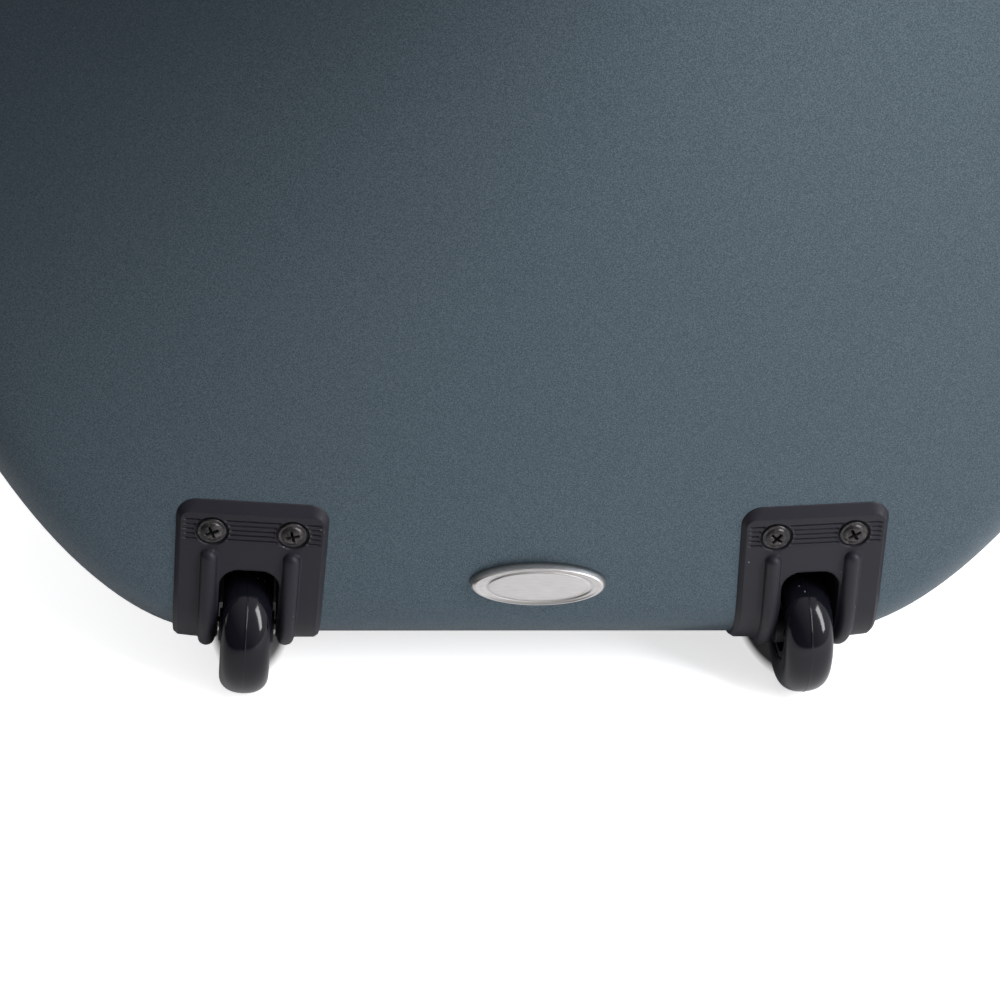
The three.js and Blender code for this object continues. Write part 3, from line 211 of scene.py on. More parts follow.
def piece_from(name, points, faces, material=None, smooth=True, merge=0.02, place=None):
    """A closed piece from points in millimetres, with doubles merged and its faces pointing outwards."""
    mesh = bpy.data.meshes.new(name)
    world = in_place(points, place) if place else in_row_frame(points)
    mesh.from_pydata(world.tolist(), [], faces)
    work = bmesh.new()
    work.from_mesh(mesh)
    bmesh.ops.remove_doubles(work, verts=work.verts, dist=merge * MM)
    bmesh.ops.dissolve_degenerate(work, edges=work.edges, dist=merge * MM / 10)
    bmesh.ops.recalc_face_normals(work, faces=work.faces)
    for face in work.faces:
        face.smooth = smooth
    work.to_mesh(mesh)
    work.free()
    if material:
        mesh.materials.append(material)
    return new_object(name, mesh)


def ring_faces(ring_count, around, closed=False):
    """Quads between rings of points, and from the last ring to the first where the stack is closed."""
    faces = []
    for r in range(ring_count if closed else ring_count - 1):
        s = (r + 1) % ring_count
        for i in range(around):
            j = (i + 1) % around
            faces.append((r * around + i, r * around + j, s * around + j, s * around + i))
    return faces


def new_material(name, roughness, metallic=0.0):
    material = bpy.data.materials.new(name)
    material.use_nodes = True
    shader = material.node_tree.nodes["Principled BSDF"]
    shader.inputs["Roughness"].default_value = roughness
    shader.inputs["Metallic"].default_value = metallic
    return material


def feed(tree, socket, value):
    """Links a socket to another node's output, or sets it to a plain value."""
    if isinstance(value, bpy.types.NodeSocket):
        tree.links.new(value, socket)
    else:
        socket.default_value = value


def add_node(tree, kind, **settings):
    """A node with its inputs set by their titles; a setting that names no input is set on the node."""
    node = tree.nodes.new(kind)
    for key, value in settings.items():
        title = key.replace("_", " ").title()
        if title in node.inputs:
            feed(tree, node.inputs[title], value)
        else:
            setattr(node, key, value)
    return node


def calculated(tree, kind, operation, *values):
    """The result of a maths node of one operation, with its inputs linked or set in turn."""
    node = add_node(tree, kind, operation=operation)
    for socket, value in zip(node.inputs, values):
        feed(tree, socket, value)
    return node.outputs["Value"] if operation in ("DOT_PRODUCT", "LENGTH") else node.outputs[0]


def paint_shader(tree, colour, normal, roughness=None):
    """Feeds the shader its colour and normal, and its roughness where that changes over the surface."""
    shader = tree.nodes["Principled BSDF"]
    tree.links.new(colour, shader.inputs["Base Color"])
    tree.links.new(normal, shader.inputs["Normal"])
    if roughness:
        tree.links.new(roughness, shader.inputs["Roughness"])
    return shader


def colour_ramp(tree, factor, stops):
    ramp = tree.nodes.new("ShaderNodeValToRGB")
    tree.links.new(factor, ramp.inputs["Fac"])
    elements = ramp.color_ramp.elements
    while len(elements) < len(stops):
        elements.new(0.5)
    for element, (place, colour) in zip(elements, stops):
        element.position = place
        element.color = (*colour, 1)
    return ramp.outputs["Color"]


def turned_coordinates(tree, rotation=(0.61, 0.83, 0.37), scale=(1, 1, 1)):
    """Object coordinates, turned askew so that no flat face runs along the grid of a noise, or stretched."""
    coordinates = tree.nodes.new("ShaderNodeTexCoord")
    mapped = add_node(tree, "ShaderNodeMapping", vector=coordinates.outputs["Object"], rotation=rotation,
                      scale=scale)
    return mapped.outputs["Vector"]


def object_noise(tree, scale, detail=2.0, roughness=0.5):
    noise = add_node(tree, "ShaderNodeTexNoise", scale=scale, detail=detail, roughness=roughness,
                     vector=turned_coordinates(tree))
    return noise.outputs["Fac"]


fine_relief = 0.2 * MM


def bump_from(tree, height, strength, distance=fine_relief):
    bump = add_node(tree, "ShaderNodeBump", strength=strength, distance=distance, height=height)
    return bump.outputs["Normal"]


def blend_colours(tree, mode, factor, first, second):
    mix = tree.nodes.new("ShaderNodeMix")
    mix.data_type = "RGBA"
    mix.blend_type = mode
    factor_socket, first_socket, second_socket = mix.inputs[0], mix.inputs[6], mix.inputs[7]
    for socket, value in ((factor_socket, factor), (first_socket, first), (second_socket, second)):
        feed(tree, socket, (*value, 1) if isinstance(value, tuple) else value)
    return mix.outputs[2]


def shell_paint_material():
    material = new_material("shell_paint", roughness=0.42, metallic=0.7)
    tree = material.node_tree
    grain = object_noise(tree, scale=2300, detail=1.0, roughness=0.6)
    colour = colour_ramp(tree, grain, [
        (0.3, (0.049, 0.075, 0.093)), (0.5, (0.081, 0.113, 0.136)), (0.7, (0.12, 0.158, 0.186))])
    patches = object_noise(tree, scale=5, detail=3.0)
    shade = colour_ramp(tree, patches, [(0.3, (0.93, 0.93, 0.95)), (0.7, (1, 1, 1))])
    rough = colour_ramp(tree, grain, [(0.3, (0.48,) * 3), (0.7, (0.38,) * 3)])
    paint_shader(tree, blend_colours(tree, "MULTIPLY", 1.0, colour, shade),
                 bump_from(tree, grain, strength=0.14), rough)
    return material


shell_paint = shell_paint_material()


def painted_shell(name, half):
    outer = case_rings(half, 0, edge_setback)
    inner = case_rings(half, -shell_wall, edge_setback)
    rings = outer[::-1] + inner
    return piece_from(name, np.concatenate(rings), ring_faces(len(rings), len(outline)), shell_paint)


def apply_modifiers(piece):
    applied = bpy.data.meshes.new_from_object(piece.evaluated_get(bpy.context.evaluated_depsgraph_get()))
    piece.modifiers.clear()
    piece.data = applied


def with_boolean(piece, operation, other):
    """Applies one boolean to a piece, and removes the other object."""
    modifier = piece.modifiers.new("boolean", "BOOLEAN")
    modifier.operation = operation
    modifier.object = other
    modifier.solver = "EXACT"
    apply_modifiers(piece)
    bpy.data.objects.remove(other)
    return piece


# The wheel wells: round about the axle and square up to the slot's top, one at each bottom corner.
# They lean outwards at the bottom with the wheels, and cut the shell and its lining.
wheel_radius, wheel_spacing, axle_inset, housing_lean = 27, 224, 10.5, math.radians(3.8)
well_radius, well_depth, slot_top, well_width, well_wall = 30, 15, 36.5, 23, 3.5
well_outside, cut_clearance = 45, 0.3
sides = {"left": -1, "right": 1}


def leaned(points, side):
    """Turns points of a wheel's own frame with its lean, and puts them at its axle."""
    x, y, z = np.asarray(points, float).T
    c, k = math.cos(housing_lean), side * math.sin(housing_lean)
    axle = [side * wheel_spacing / 2, axle_inset - shell_halves["back"]["depth"], wheel_radius]
    return np.stack([x * c - z * k, y, x * k + z * c], 1) + axle


def well_profile(grow):
    """The well's side view as y, z pairs, open well past the back and the bottom."""
    reach, back, far = well_radius + grow, well_depth + grow, well_outside
    turn = math.acos(back / reach)
    arc = [(reach * math.cos(a), reach * math.sin(a)) for a in np.linspace(0, turn, 12)]
    return [(-far, -far), (reach, -far), *arc, (back, slot_top + grow), (-far, slot_top + grow)]


def prism_faces(count):
    """Two flat ends of `count` points each and the quads between them."""
    ends = [tuple(range(count)), tuple(range(2 * count - 1, count - 1, -1))]
    return ends + [(i, (i + 1) % count, (i + 1) % count + count, i + count) for i in range(count)]


def prism_along_axle(name, profile, half_width, side, material=None):
    points = [(x, y, z) for x in (-half_width, half_width) for y, z in profile]
    return piece_from(name, leaned(points, side), prism_faces(len(profile)), material, smooth=False)


def cut_wells(piece):
    """Opens a piece for both wheel wells, with a little clearance round the tubs' walls."""
    grow = well_wall + cut_clearance
    for side in sides.values():
        cutter = prism_along_axle("well_cutter", well_profile(grow), well_width / 2 + grow, side)
        with_boolean(piece, "DIFFERENCE", cutter)
    return piece


def fitted(piece, body, node):
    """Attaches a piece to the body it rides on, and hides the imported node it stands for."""
    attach(piece, body)
    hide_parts(node)


back_painted = cut_wells(painted_shell("back_shell_painted", shell_halves["back"]))
fitted(back_painted, "back", "back_shell")
fitted(painted_shell("lid_shell_painted", shell_halves["lid"]), "lid", "lid_shell")

# The rims: black moulded channels pressed over the shells' edges, with a rubber seal in the lid's one.
# Their outer corners are rounded, and their satin face has the fine grain of the mould.
rim_reach, rim_wall, rim_round, seal_width, seal_depth = 14, 2, 0.8, 3, 2.2
speck_share, bare_share, dust_colour = 0.075, 0.58, (0.42, 0.42, 0.44)
haze_swing = 0.06


def speck_group():
    """Fine dust and grain that the black plastics and the tyres share: a colour and a height."""
    group = bpy.data.node_groups.new("dust_and_grain", "ShaderNodeTree")
    for title, kind in (("Color", "Color"), ("Dust", "Float"), ("Grain Scale", "Float")):
        group.interface.new_socket(title, in_out="INPUT", socket_type=f"NodeSocket{kind}")
    for title, kind in (("Color", "Color"), ("Height", "Float"), ("Roughness Shift", "Float")):
        group.interface.new_socket(title, in_out="OUTPUT", socket_type=f"NodeSocket{kind}")
    given = group.nodes.new("NodeGroupInput")
    result = group.nodes.new("NodeGroupOutput")
    place = turned_coordinates(group)
    grain = add_node(group, "ShaderNodeTexNoise", scale=given.outputs["Grain Scale"], detail=3.0,
                     vector=place)
    specks = add_node(group, "ShaderNodeTexVoronoi", scale=210.0, vector=place)
    cells = add_node(group, "ShaderNodeTexNoise", scale=95.0, detail=0.0, vector=place)
    near = calculated(group, "ShaderNodeMath", "LESS_THAN", specks.outputs["Distance"], speck_share)
    some = calculated(group, "ShaderNodeMath", "GREATER_THAN", cells.outputs["Fac"], bare_share)
    both = calculated(group, "ShaderNodeMath", "MULTIPLY", near, some)
    amount = calculated(group, "ShaderNodeMath", "MULTIPLY", both, given.outputs["Dust"])
    haze = add_node(group, "ShaderNodeTexNoise", scale=26.0, detail=4.0, vector=place)
    haze_tone = colour_ramp(group, haze.outputs["Fac"], [(0.35, (0.9,) * 3), (0.7, (1.12,) * 3)])
    base = blend_colours(group, "MULTIPLY", 1.0, given.outputs["Color"], haze_tone)
    group.links.new(blend_colours(group, "MIX", amount, base, dust_colour), result.inputs["Color"])
    group.links.new(grain.outputs["Fac"], result.inputs["Height"])
    group.links.new(haze.outputs["Fac"], result.inputs["Roughness Shift"])
    return group


dust_and_grain = speck_group()


def moulded_material(name, colour, roughness, dust, grain_scale, grain_height, shine=0.35):
    """A black plastic, rubber or coating with a fine grain, a roughness haze and a share of dust."""
    material = new_material(name, roughness)
    tree = material.node_tree
    group = tree.nodes.new("ShaderNodeGroup")
    group.node_tree = dust_and_grain
    for title, value in (("Color", (*colour, 1)), ("Dust", dust), ("Grain Scale", grain_scale)):
        group.inputs[title].default_value = value
    rough = add_node(tree, "ShaderNodeMapRange", value=group.outputs["Roughness Shift"],
                     to_min=roughness - haze_swing, to_max=roughness + haze_swing)
    shader = paint_shader(tree, group.outputs["Color"],
                          bump_from(tree, group.outputs["Height"], strength=grain_height),
                          rough.outputs["Result"])
    shader.inputs["Specular IOR Level"].default_value = shine
    return material


rim_plastic = moulded_material("rim_plastic", (0.022, 0.022, 0.025), roughness=0.45, dust=0.2,
                               grain_scale=1600, grain_height=0.12)
seal_rubber = moulded_material("seal_rubber", (0.014, 0.014, 0.015), roughness=0.8, dust=0.2,
                               grain_scale=2400, grain_height=0.2)


def swept_round_edge(name, half, section, material):
    """Sweeps a closed section of [inset, distance from the parting plane] pairs round the shell's edge."""
    rings = []
    for inset, y in section:
        distance = inset + wall_draft * y / (depth_at(half, outline[:, 1]) - corner_radius)
        place = outline - outline_normals * distance[:, None]
        rings.append(np.stack([place[:, 0], np.full(len(place), half["sign"] * y),
                               place[:, 1] + ground_clearance], 1))
    faces = ring_faces(len(rings), len(outline), closed=True)
    return piece_from(name, np.concatenate(rings), faces, material)


def rounded_corner(corner, before, after, radius, steps=4):
    """Points of a small round where a section turns at `corner` between two neighbours."""
    corner, before, after = (np.array(p, float) for p in (corner, before, after))
    start = corner + (before - corner) / np.linalg.norm(before - corner) * radius
    end = corner + (after - corner) / np.linalg.norm(after - corner) * radius
    share = np.linspace(0, 1, steps + 1)[:, None]
    return ((1 - share) ** 2 * start + 2 * share * (1 - share) * corner + share**2 * end).tolist()


def rounded_section(corners, radii):
    section = []
    for i, (corner, radius) in enumerate(zip(corners, radii)):
        if radius:
            section += rounded_corner(corner, corners[i - 1], corners[(i + 1) % len(corners)], radius)
        else:
            section.append(corner)
    return section


rim_near = parting_gap / 2
inner_face = shell_wall + rim_wall
fit = cut_clearance
channel = [
    (inner_face, rim_near), (inner_face, rim_reach), (shell_wall + fit, rim_reach),
    (shell_wall + fit, edge_setback - fit), (-fit, edge_setback - fit), (-fit, rim_reach),
    (-rim_wall, rim_reach), (-rim_wall, rim_near),
]
channel_radii = [rim_round / 2, rim_round, rim_round / 2, 0, 0, rim_round / 2, rim_round, rim_round]
seal_start = (shell_wall - seal_width) / 2
seal_end = seal_start + seal_width
groove_floor = rim_near + seal_depth + fit
seal_groove = [(seal_start - fit, rim_near), (seal_start - fit, groove_floor),
               (seal_end + fit, groove_floor), (seal_end + fit, rim_near)]
seal_section = [(seal_start, rim_near), (seal_end, rim_near),
                (seal_end, rim_near + seal_depth), (seal_start, rim_near + seal_depth)]
rim_section = rounded_section(channel, channel_radii)
rims = [
    ("back_rim_moulded", "back", "back_rim", rim_section, rim_plastic, "rim_plastic"),
    ("lid_rim_moulded", "lid", "lid_rim", rim_section + seal_groove, rim_plastic, "rim_plastic"),
    ("rim_seal_rubber", "lid", "rim_seal", rounded_section(seal_section, [rim_round] * 4), seal_rubber,
     "rubber"),
]
for name, body, node, section, material, slot in rims:
    fitted(swept_round_edge(name, shell_halves[body], section, material), body, node)

# The wheel housings: black injection-moulded corner pieces that wrap the bottom edge of the back. Each
# has a bevelled plate with fine grooves and two screw seats, a slot for the wheel between two half-round
# ribs that run on under the case, and a tub behind it. The plate leans outwards at the bottom.
plate_thickness, plate_width, plate_top, plate_corner, plate_leg = 2.4, 57.6, 67.5, 8, 74
bevel_depth, bevel_top_width, bevel_side_width, edge_round, plate_sink = 2.2, 4.8, 1.9, 0.4, 0.3
groove_count, groove_pitch, groove_half_width, groove_depth, groove_margin = 5, 2.15, 0.42, 0.9, 2.2
groove_lift, groove_run_out, groove_seat_gap = 0.6, 2, 0.8
bevel_fade_share = 0.7
screw_spacing, screw_height, seat_radius, seat_depth = 30.4, 54.3, 6.4, 1.2
seat_step_inside, seat_step_outside = 0.5, 0.2
rib_radius, rib_spacing, rib_top, rib_end = 3.3, 31.4, 46, 66
rib_foot_height, rib_foot_width, rib_power_share = 0.2, 0.5, 0.9
slot_corner, slot_round, tub_overlap = 8, 0.9, 1.2
plate_row_steps = [(0, 1, 0.15), (1, 5, 0.4), (5, 5.5, 0.1), (5.6, 19, 0.2), (19, 27, 0.35)]
plate_last_start, plate_last_step, plate_end_band = 27, 0.9, 1
plate_column_shares = [(-1, -0.925, 12), (-0.92, 0.92, 150), (0.925, 1, 12)]
back_plane = -axle_inset
shell_bottom = ground_clearance - wheel_radius + wall_draft
bend_y, bend_z = back_plane + corner_radius, shell_bottom + corner_radius
under_slope = wall_draft / (shell_halves["back"]["depth"] - corner_radius)

housing_plastic = moulded_material("housing_plastic", (0.0128, 0.012, 0.0185), roughness=0.5, dust=0.35,
                                   grain_scale=2600, grain_height=0.16)


def wrap_profile(run):
    """Place and normal on the shell's corner, by the run down the back, round the bend and in under."""
    down = plate_top - bend_z
    bend = corner_radius * math.pi / 2
    angle = np.clip((run - down) / corner_radius, 0, math.pi / 2)
    under = np.maximum(run - down - bend, 0)
    y = bend_y - corner_radius * np.cos(angle) + under
    z = bend_z - corner_radius * np.sin(angle) + np.maximum(down - run, 0) - under * under_slope
    return y, z, -np.cos(angle), -np.sin(angle)


bend_start_run = plate_top - bend_z
bend_end_run = bend_start_run + corner_radius * math.pi / 2
plate_end_run = bend_end_run + plate_leg - bend_y
slot_end_run = bend_end_run + math.sqrt(well_radius**2 - shell_bottom**2) - bend_y


def plate_height(u, run):
    """The height of the plate's face over the shell, at `u` across and `run` from its top edge."""
    half = plate_width / 2
    corner_u, corner_run = np.abs(u) - half + plate_corner, plate_corner - run
    in_corner = (corner_u > 0) & (corner_run > 0)
    from_centre = np.maximum(np.hypot(corner_u, corner_run), edge_round / 4)
    round_distance = plate_corner - from_centre
    inside = np.where(in_corner, round_distance, np.minimum(half - np.abs(u), run))
    inside = np.clip(np.minimum(inside, plate_end_run - run), 0, None)
    rise = np.sqrt(1 - (1 - np.clip(inside / edge_round, 0, 1)) ** 2)
    corner_width = (bevel_top_width * corner_run**2 + bevel_side_width * corner_u**2) / from_centre**2
    bevel_share = np.where(in_corner, round_distance / corner_width,
                           np.minimum((half - np.abs(u)) / bevel_side_width, run / bevel_top_width))
    bevel_share = np.clip(np.minimum(bevel_share, (plate_end_run - run) / bevel_side_width), 0, 1)
    fade = bevel_fade_share * smooth_step(run, bend_start_run, bend_end_run)
    bevel_share = bevel_share + (1 - bevel_share) * fade
    height = (plate_thickness - bevel_depth) * rise + bevel_depth * rise * bevel_share
    screw_run = plate_top - screw_height
    seat = np.minimum(np.hypot(u - screw_spacing / 2, run - screw_run),
                      np.hypot(u + screw_spacing / 2, run - screw_run))
    groove_end = half - groove_margin
    ends = 1 - smooth_step(np.abs(u), groove_end - groove_run_out, groove_end)
    ends = ends * smooth_step(seat, seat_radius, seat_radius + groove_seat_gap)
    for i in range(groove_count):
        middle = screw_run - groove_lift + (i - (groove_count - 1) / 2) * groove_pitch
        height -= groove_depth * ends * np.exp(-((run - middle) / groove_half_width) ** 2)
    height -= seat_depth * (1 - smooth_step(seat, seat_radius - seat_step_inside,
                                            seat_radius + seat_step_outside))
    for way in (-1, 1):
        dome_run = plate_top - rib_top + rib_radius
        beyond = np.maximum(np.maximum(dome_run - run, run - bend_end_run - rib_end + bend_y), 0)
        away = np.hypot(u - way * rib_spacing / 2, beyond)
        dome = rib_radius * np.sqrt(np.clip(1 - (away / rib_radius) ** 2, 0, 1)) ** rib_power_share
        foot_share = (1 - smooth_step(away, rib_radius, rib_radius + rib_foot_width)) * (away > rib_radius)
        height += np.maximum(dome, rib_foot_height * foot_share)
    slot_u = np.abs(u) - well_width / 2 + slot_corner
    slot_run = plate_top - slot_top + slot_corner - run
    slot_gap = np.where((slot_u > 0) & (slot_run > 0), np.hypot(slot_u, slot_run) - slot_corner,
                        np.maximum(slot_u, slot_run) - slot_corner)
    slot_gap = np.maximum(slot_gap, run - slot_end_run)
    drop = slot_round - np.clip(slot_gap, 0, slot_round)
    return height - (slot_round - np.sqrt(np.clip(slot_round**2 - drop**2, 0, None)))


def housing_plate(name, side):
    """The plate as a grid of heights over the shell, finest at its edges and along its grooves."""
    last = plate_end_run - plate_end_band
    steps = [*plate_row_steps, (plate_last_start, last, plate_last_step)]
    runs = np.concatenate([*(np.arange(*step) for step in steps), np.linspace(last, plate_end_run, 6)])
    shares = np.concatenate([np.linspace(*span) for span in plate_column_shares])
    u, run = np.meshgrid(shares * plate_width / 2, runs)
    corner = np.clip(plate_corner - run, 0, plate_corner)
    narrowed = plate_width / 2 - plate_corner + np.sqrt(plate_corner**2 - corner**2)
    u = u * narrowed / (plate_width / 2)
    height = plate_height(u, run)
    lean_share = 1 - smooth_step(run, bend_start_run, bend_end_run)
    y, z, ny, nz = wrap_profile(run - side * u * math.sin(housing_lean) * lean_share)
    middle = side * wheel_spacing / 2
    layers = []
    for layer_height in (height, np.full_like(height, -plate_sink)):
        py, pz = y + ny * layer_height, z + nz * layer_height
        px = (u - side * pz * math.sin(housing_lean)) / math.cos(housing_lean) + middle
        below = smooth_step(run, bend_start_run, bend_end_run)
        right = outline[: len(outline) // 2 + 1]
        lower = right[right[:, 1] < lower_bout_rise]
        pz = pz + below * np.interp(np.abs(px), lower[:, 0], lower[:, 1])
        layers.append(np.stack([px, py - shell_halves["back"]["depth"] + axle_inset, pz + wheel_radius], -1))
    rows, columns = u.shape
    count = rows * columns
    grid = np.arange(count).reshape(rows, columns)
    faces = []
    for r in range(rows - 1):
        for c in range(columns - 1):
            quad = (grid[r, c], grid[r, c + 1], grid[r + 1, c + 1], grid[r + 1, c])
            faces.append(tuple(int(i) for i in quad))
            faces.append(tuple(int(i) + count for i in reversed(quad)))
    border = [*grid[0, :], *grid[1:, -1], *grid[-1, -2::-1], *grid[-2:0:-1, 0]]
    for i, here in enumerate(border):
        there = border[(i + 1) % len(border)]
        faces.append((int(here), int(here) + count, int(there) + count, int(there)))
    points = np.concatenate([layer.reshape(-1, 3) for layer in layers])
    return piece_from(name, points, faces, housing_plastic)


def tub_profile():
    """The tub's side view inside the shell's corner, grown into the plate so that the two join."""
    reach, back, top = well_radius + well_wall, well_depth + well_wall, slot_top + well_wall
    low = shell_bottom - tub_overlap
    turn = math.acos(back / reach)
    start = math.asin(low / reach)
    arc = [(reach * math.cos(a), reach * math.sin(a)) for a in np.linspace(start, turn, 20)]
    around = corner_radius + tub_overlap
    bend = [(bend_y - around * math.sin(a), bend_z - around * math.cos(a))
            for a in np.linspace(0, math.pi / 2, 12)]
    return [*arc, (back, top), (back_plane - tub_overlap, top), *bend[::-1]]


def slot_cutter(name, side):
    """The well with the slot's round top corners, as one body to cut away."""
    half = well_width / 2
    well = prism_along_axle(name, well_profile(0), half, side)
    arc = [(math.cos(a), math.sin(a)) for a in np.linspace(0, math.pi / 2, 10)]
    right = [(half - slot_corner + slot_corner * c, slot_top - slot_corner + slot_corner * k) for c, k in arc]
    left = [(-x, z) for x, z in right[::-1]]
    face = [(half, -well_outside), *right, *left, (-half, -well_outside)]
    points = [(x, y, z) for y in (-well_outside * 2, well_outside * 2) for x, z in face]
    rounded = piece_from("slot_face", leaned(points, side), prism_faces(len(face)), smooth=False)
    return with_boolean(well, "INTERSECT", rounded)


def shade_by_angle(piece, degrees=35):
    piece.data.polygons.foreach_set("use_smooth", [True] * len(piece.data.polygons))
    piece.data.set_sharp_from_angle(angle=math.radians(degrees))
    return piece


for side_name, side in sides.items():
    housing = housing_plate(f"wheel_housing_moulded_{side_name}", side)
    tub = prism_along_axle("tub", tub_profile(), well_width / 2 + well_wall, side, housing_plastic)
    with_boolean(housing, "UNION", tub)
    with_boolean(housing, "DIFFERENCE", slot_cutter("slot_cutter", side))
    fitted(shade_by_angle(housing), "back", f"wheel_housing_{side_name}")

# The wheels: glossy black urethane tyres with a mould seam round the middle, on moulded hubs with a rim,
# a web and a boss. They turn on plated axles that bear in the walls of the tubs.
tread_width, tread_side_radius, tyre_inner_radius, hub_width = 19.5, 19.5, 13, 16.5
tread_side_power_share, tread_crown_power_share = 0.86, 0.9
seam_foot, seam_height, seam_half = 0.02, 0.22, 0.3
tyre_shoulder = [(3, 0.2), (1.2, 0.7)]
hub_boss_radius, hub_boss_width, hub_web, hub_rim_wall, axle_radius = 6.5, 21.6, 6, 2.4, 3
hub_edge_round = 0.3
tyre_urethane = moulded_material("tyre_urethane", (0.006, 0.0062, 0.01), roughness=0.12, dust=0.5,
                                 grain_scale=900, grain_height=0.03, shine=0.34)
hub_plastic = moulded_material("hub_plastic", (0.02, 0.02, 0.023), roughness=0.5, dust=0.3,
                               grain_scale=2200, grain_height=0.12)


def turned_on_axle(name, profile, side, material, segments=112):
    """Turns a closed profile of [radius, place along the axle] pairs round a wheel's axle."""
    points = [(x, r * math.cos(angle), r * math.sin(angle))
              for angle in np.linspace(0, 2 * math.pi, segments, endpoint=False) for r, x in profile]
    faces = ring_faces(segments, len(profile), closed=True)
    return piece_from(name, leaned(points, side), faces, material)


def tyre_profile():
    half = tread_width / 2
    crown = []
    for angle in np.linspace(0, math.pi, 61):
        x = half * math.copysign(abs(math.cos(angle)) ** tread_side_power_share, math.cos(angle))
        share = math.sin(angle) ** tread_crown_power_share
        crown.append((tread_side_radius + (wheel_radius - tread_side_radius) * share, x))
    crown += [(wheel_radius + seam_foot, seam_half), (wheel_radius + seam_height, 0),
              (wheel_radius + seam_foot, -seam_half)]
    crown = sorted(crown, key=lambda pair: -pair[1])
    shoulder = [(tyre_inner_radius + rise, -half + inset) for rise, inset in tyre_shoulder]
    shoulder.append((tyre_inner_radius, -hub_width / 2))
    return crown + shoulder + [(radius, -x) for radius, x in shoulder[::-1]]


def hub_profile():
    outer = tyre_inner_radius - fit
    inner = outer - hub_rim_wall
    bore = axle_radius + fit
    rim, web, boss = hub_width / 2, hub_web / 2, hub_boss_width / 2
    corners = [(bore, -boss), (hub_boss_radius, -boss), (hub_boss_radius, -web), (inner, -web), (inner, -rim),
               (outer, -rim), (outer, rim), (inner, rim), (inner, web), (hub_boss_radius, web),
               (hub_boss_radius, boss), (bore, boss)]
    return rounded_section(corners, [hub_edge_round] * len(corners))


for side_name, side in sides.items():
    tyre = turned_on_axle(f"wheel_tyre_glossy_{side_name}", tyre_profile(), side, tyre_urethane)
    hub = turned_on_axle(f"wheel_hub_moulded_{side_name}", hub_profile(), side, hub_plastic, segments=72)
    fitted(tyre, f"wheel_{side_name}", f"wheel_tyre_{side_name}")
    fitted(shade_by_angle(hub), f"wheel_{side_name}", f"wheel_hub_{side_name}")

# The housing screws: black washer-head screws with a domed head and a cross recess, two in each plate.
# Their wide flanges sit in the round seats of the plates, and their black coat is a little worn in random
# spots.
flange_radius, flange_height, head_radius, head_height = 5.6, 1.0, 4.2, 2.3
flange_round, recess_reach, recess_half, recess_depth = 0.6, 2.6, 0.5, 2.8
recess_edge_inside, recess_edge_outside, ring_power_share = -0.15, 0.1, 0.9


def screw_black_material():
    material = new_material("screw_black", roughness=0.33, metallic=0.7)
    tree = material.node_tree
    wear = object_noise(tree, scale=420, detail=4.0, roughness=0.7)
    colour = colour_ramp(tree, wear, [(0.4, (0.03, 0.029, 0.031)), (0.58, (0.068, 0.062, 0.062)),
                                      (0.72, (0.2, 0.175, 0.165))])
    paint_shader(tree, colour, bump_from(tree, wear, strength=0.2))
    return material


def screw_head():
    """One head at the origin, its axis along +Z, as a height over a disc."""
    rings, around = 30, 64
    points = []
    for r in range(rings + 1):
        radius = flange_radius * (r / rings) ** ring_power_share
        for j in range(around):
            angle = 2 * math.pi * j / around
            x, y = radius * math.cos(angle), radius * math.sin(angle)
            over_edge = max(0, (radius - flange_radius + flange_round) / flange_round)
            flange = flange_height * math.sqrt(max(0, 1 - over_edge**2))
            dome = (head_height - flange_height) * math.sqrt(max(0, 1 - (radius / head_radius) ** 2))
            arm = min(max(abs(x) - recess_half, abs(y) - recess_reach),
                      max(abs(y) - recess_half, abs(x) - recess_reach))
            open_share = float(1 - smooth_step(arm, recess_edge_inside, recess_edge_outside))
            recess = recess_depth * open_share * (1 - 0.5 * radius / recess_reach)
            points.append((x, y, flange + dome - max(recess, 0)))
    faces = ring_faces(rings + 1, around)
    faces.append(tuple(range(rings * around, (rings + 1) * around))[::-1])
    return piece_from("screw_head", points, faces, merge=0.01, place=Matrix.Identity(4))


def heads_tree():
    """Geometry Nodes that put a copy of one fastener head on every point, turned as the point says."""
    tree = bpy.data.node_groups.new("fastener_heads", "GeometryNodeTree")
    for title, kind in (("Geometry", "Geometry"), ("Head", "Object"), ("Size", "Float"),
                        ("Finish", "Material")):
        tree.interface.new_socket(title, in_out="INPUT", socket_type=f"NodeSocket{kind}")
    tree.interface.new_socket("Geometry", in_out="OUTPUT", socket_type="NodeSocketGeometry")
    given = tree.nodes.new("NodeGroupInput").outputs
    head = add_node(tree, "GeometryNodeObjectInfo", object=given["Head"])
    turn = add_node(tree, "GeometryNodeInputNamedAttribute", data_type="FLOAT_VECTOR")
    turn.inputs["Name"].default_value = "turn"
    rotation = add_node(tree, "FunctionNodeEulerToRotation", euler=turn.outputs["Attribute"])
    copies = add_node(tree, "GeometryNodeInstanceOnPoints", points=given["Geometry"],
                      instance=head.outputs["Geometry"], rotation=rotation.outputs["Rotation"],
                      scale=given["Size"])
    real = add_node(tree, "GeometryNodeRealizeInstances", geometry=copies.outputs["Instances"])
    finish = add_node(tree, "GeometryNodeSetMaterial", geometry=real.outputs["Geometry"],
                      material=given["Finish"])
    add_node(tree, "NodeGroupOutput", geometry=finish.outputs["Geometry"])
    return tree


fastener_heads = heads_tree()


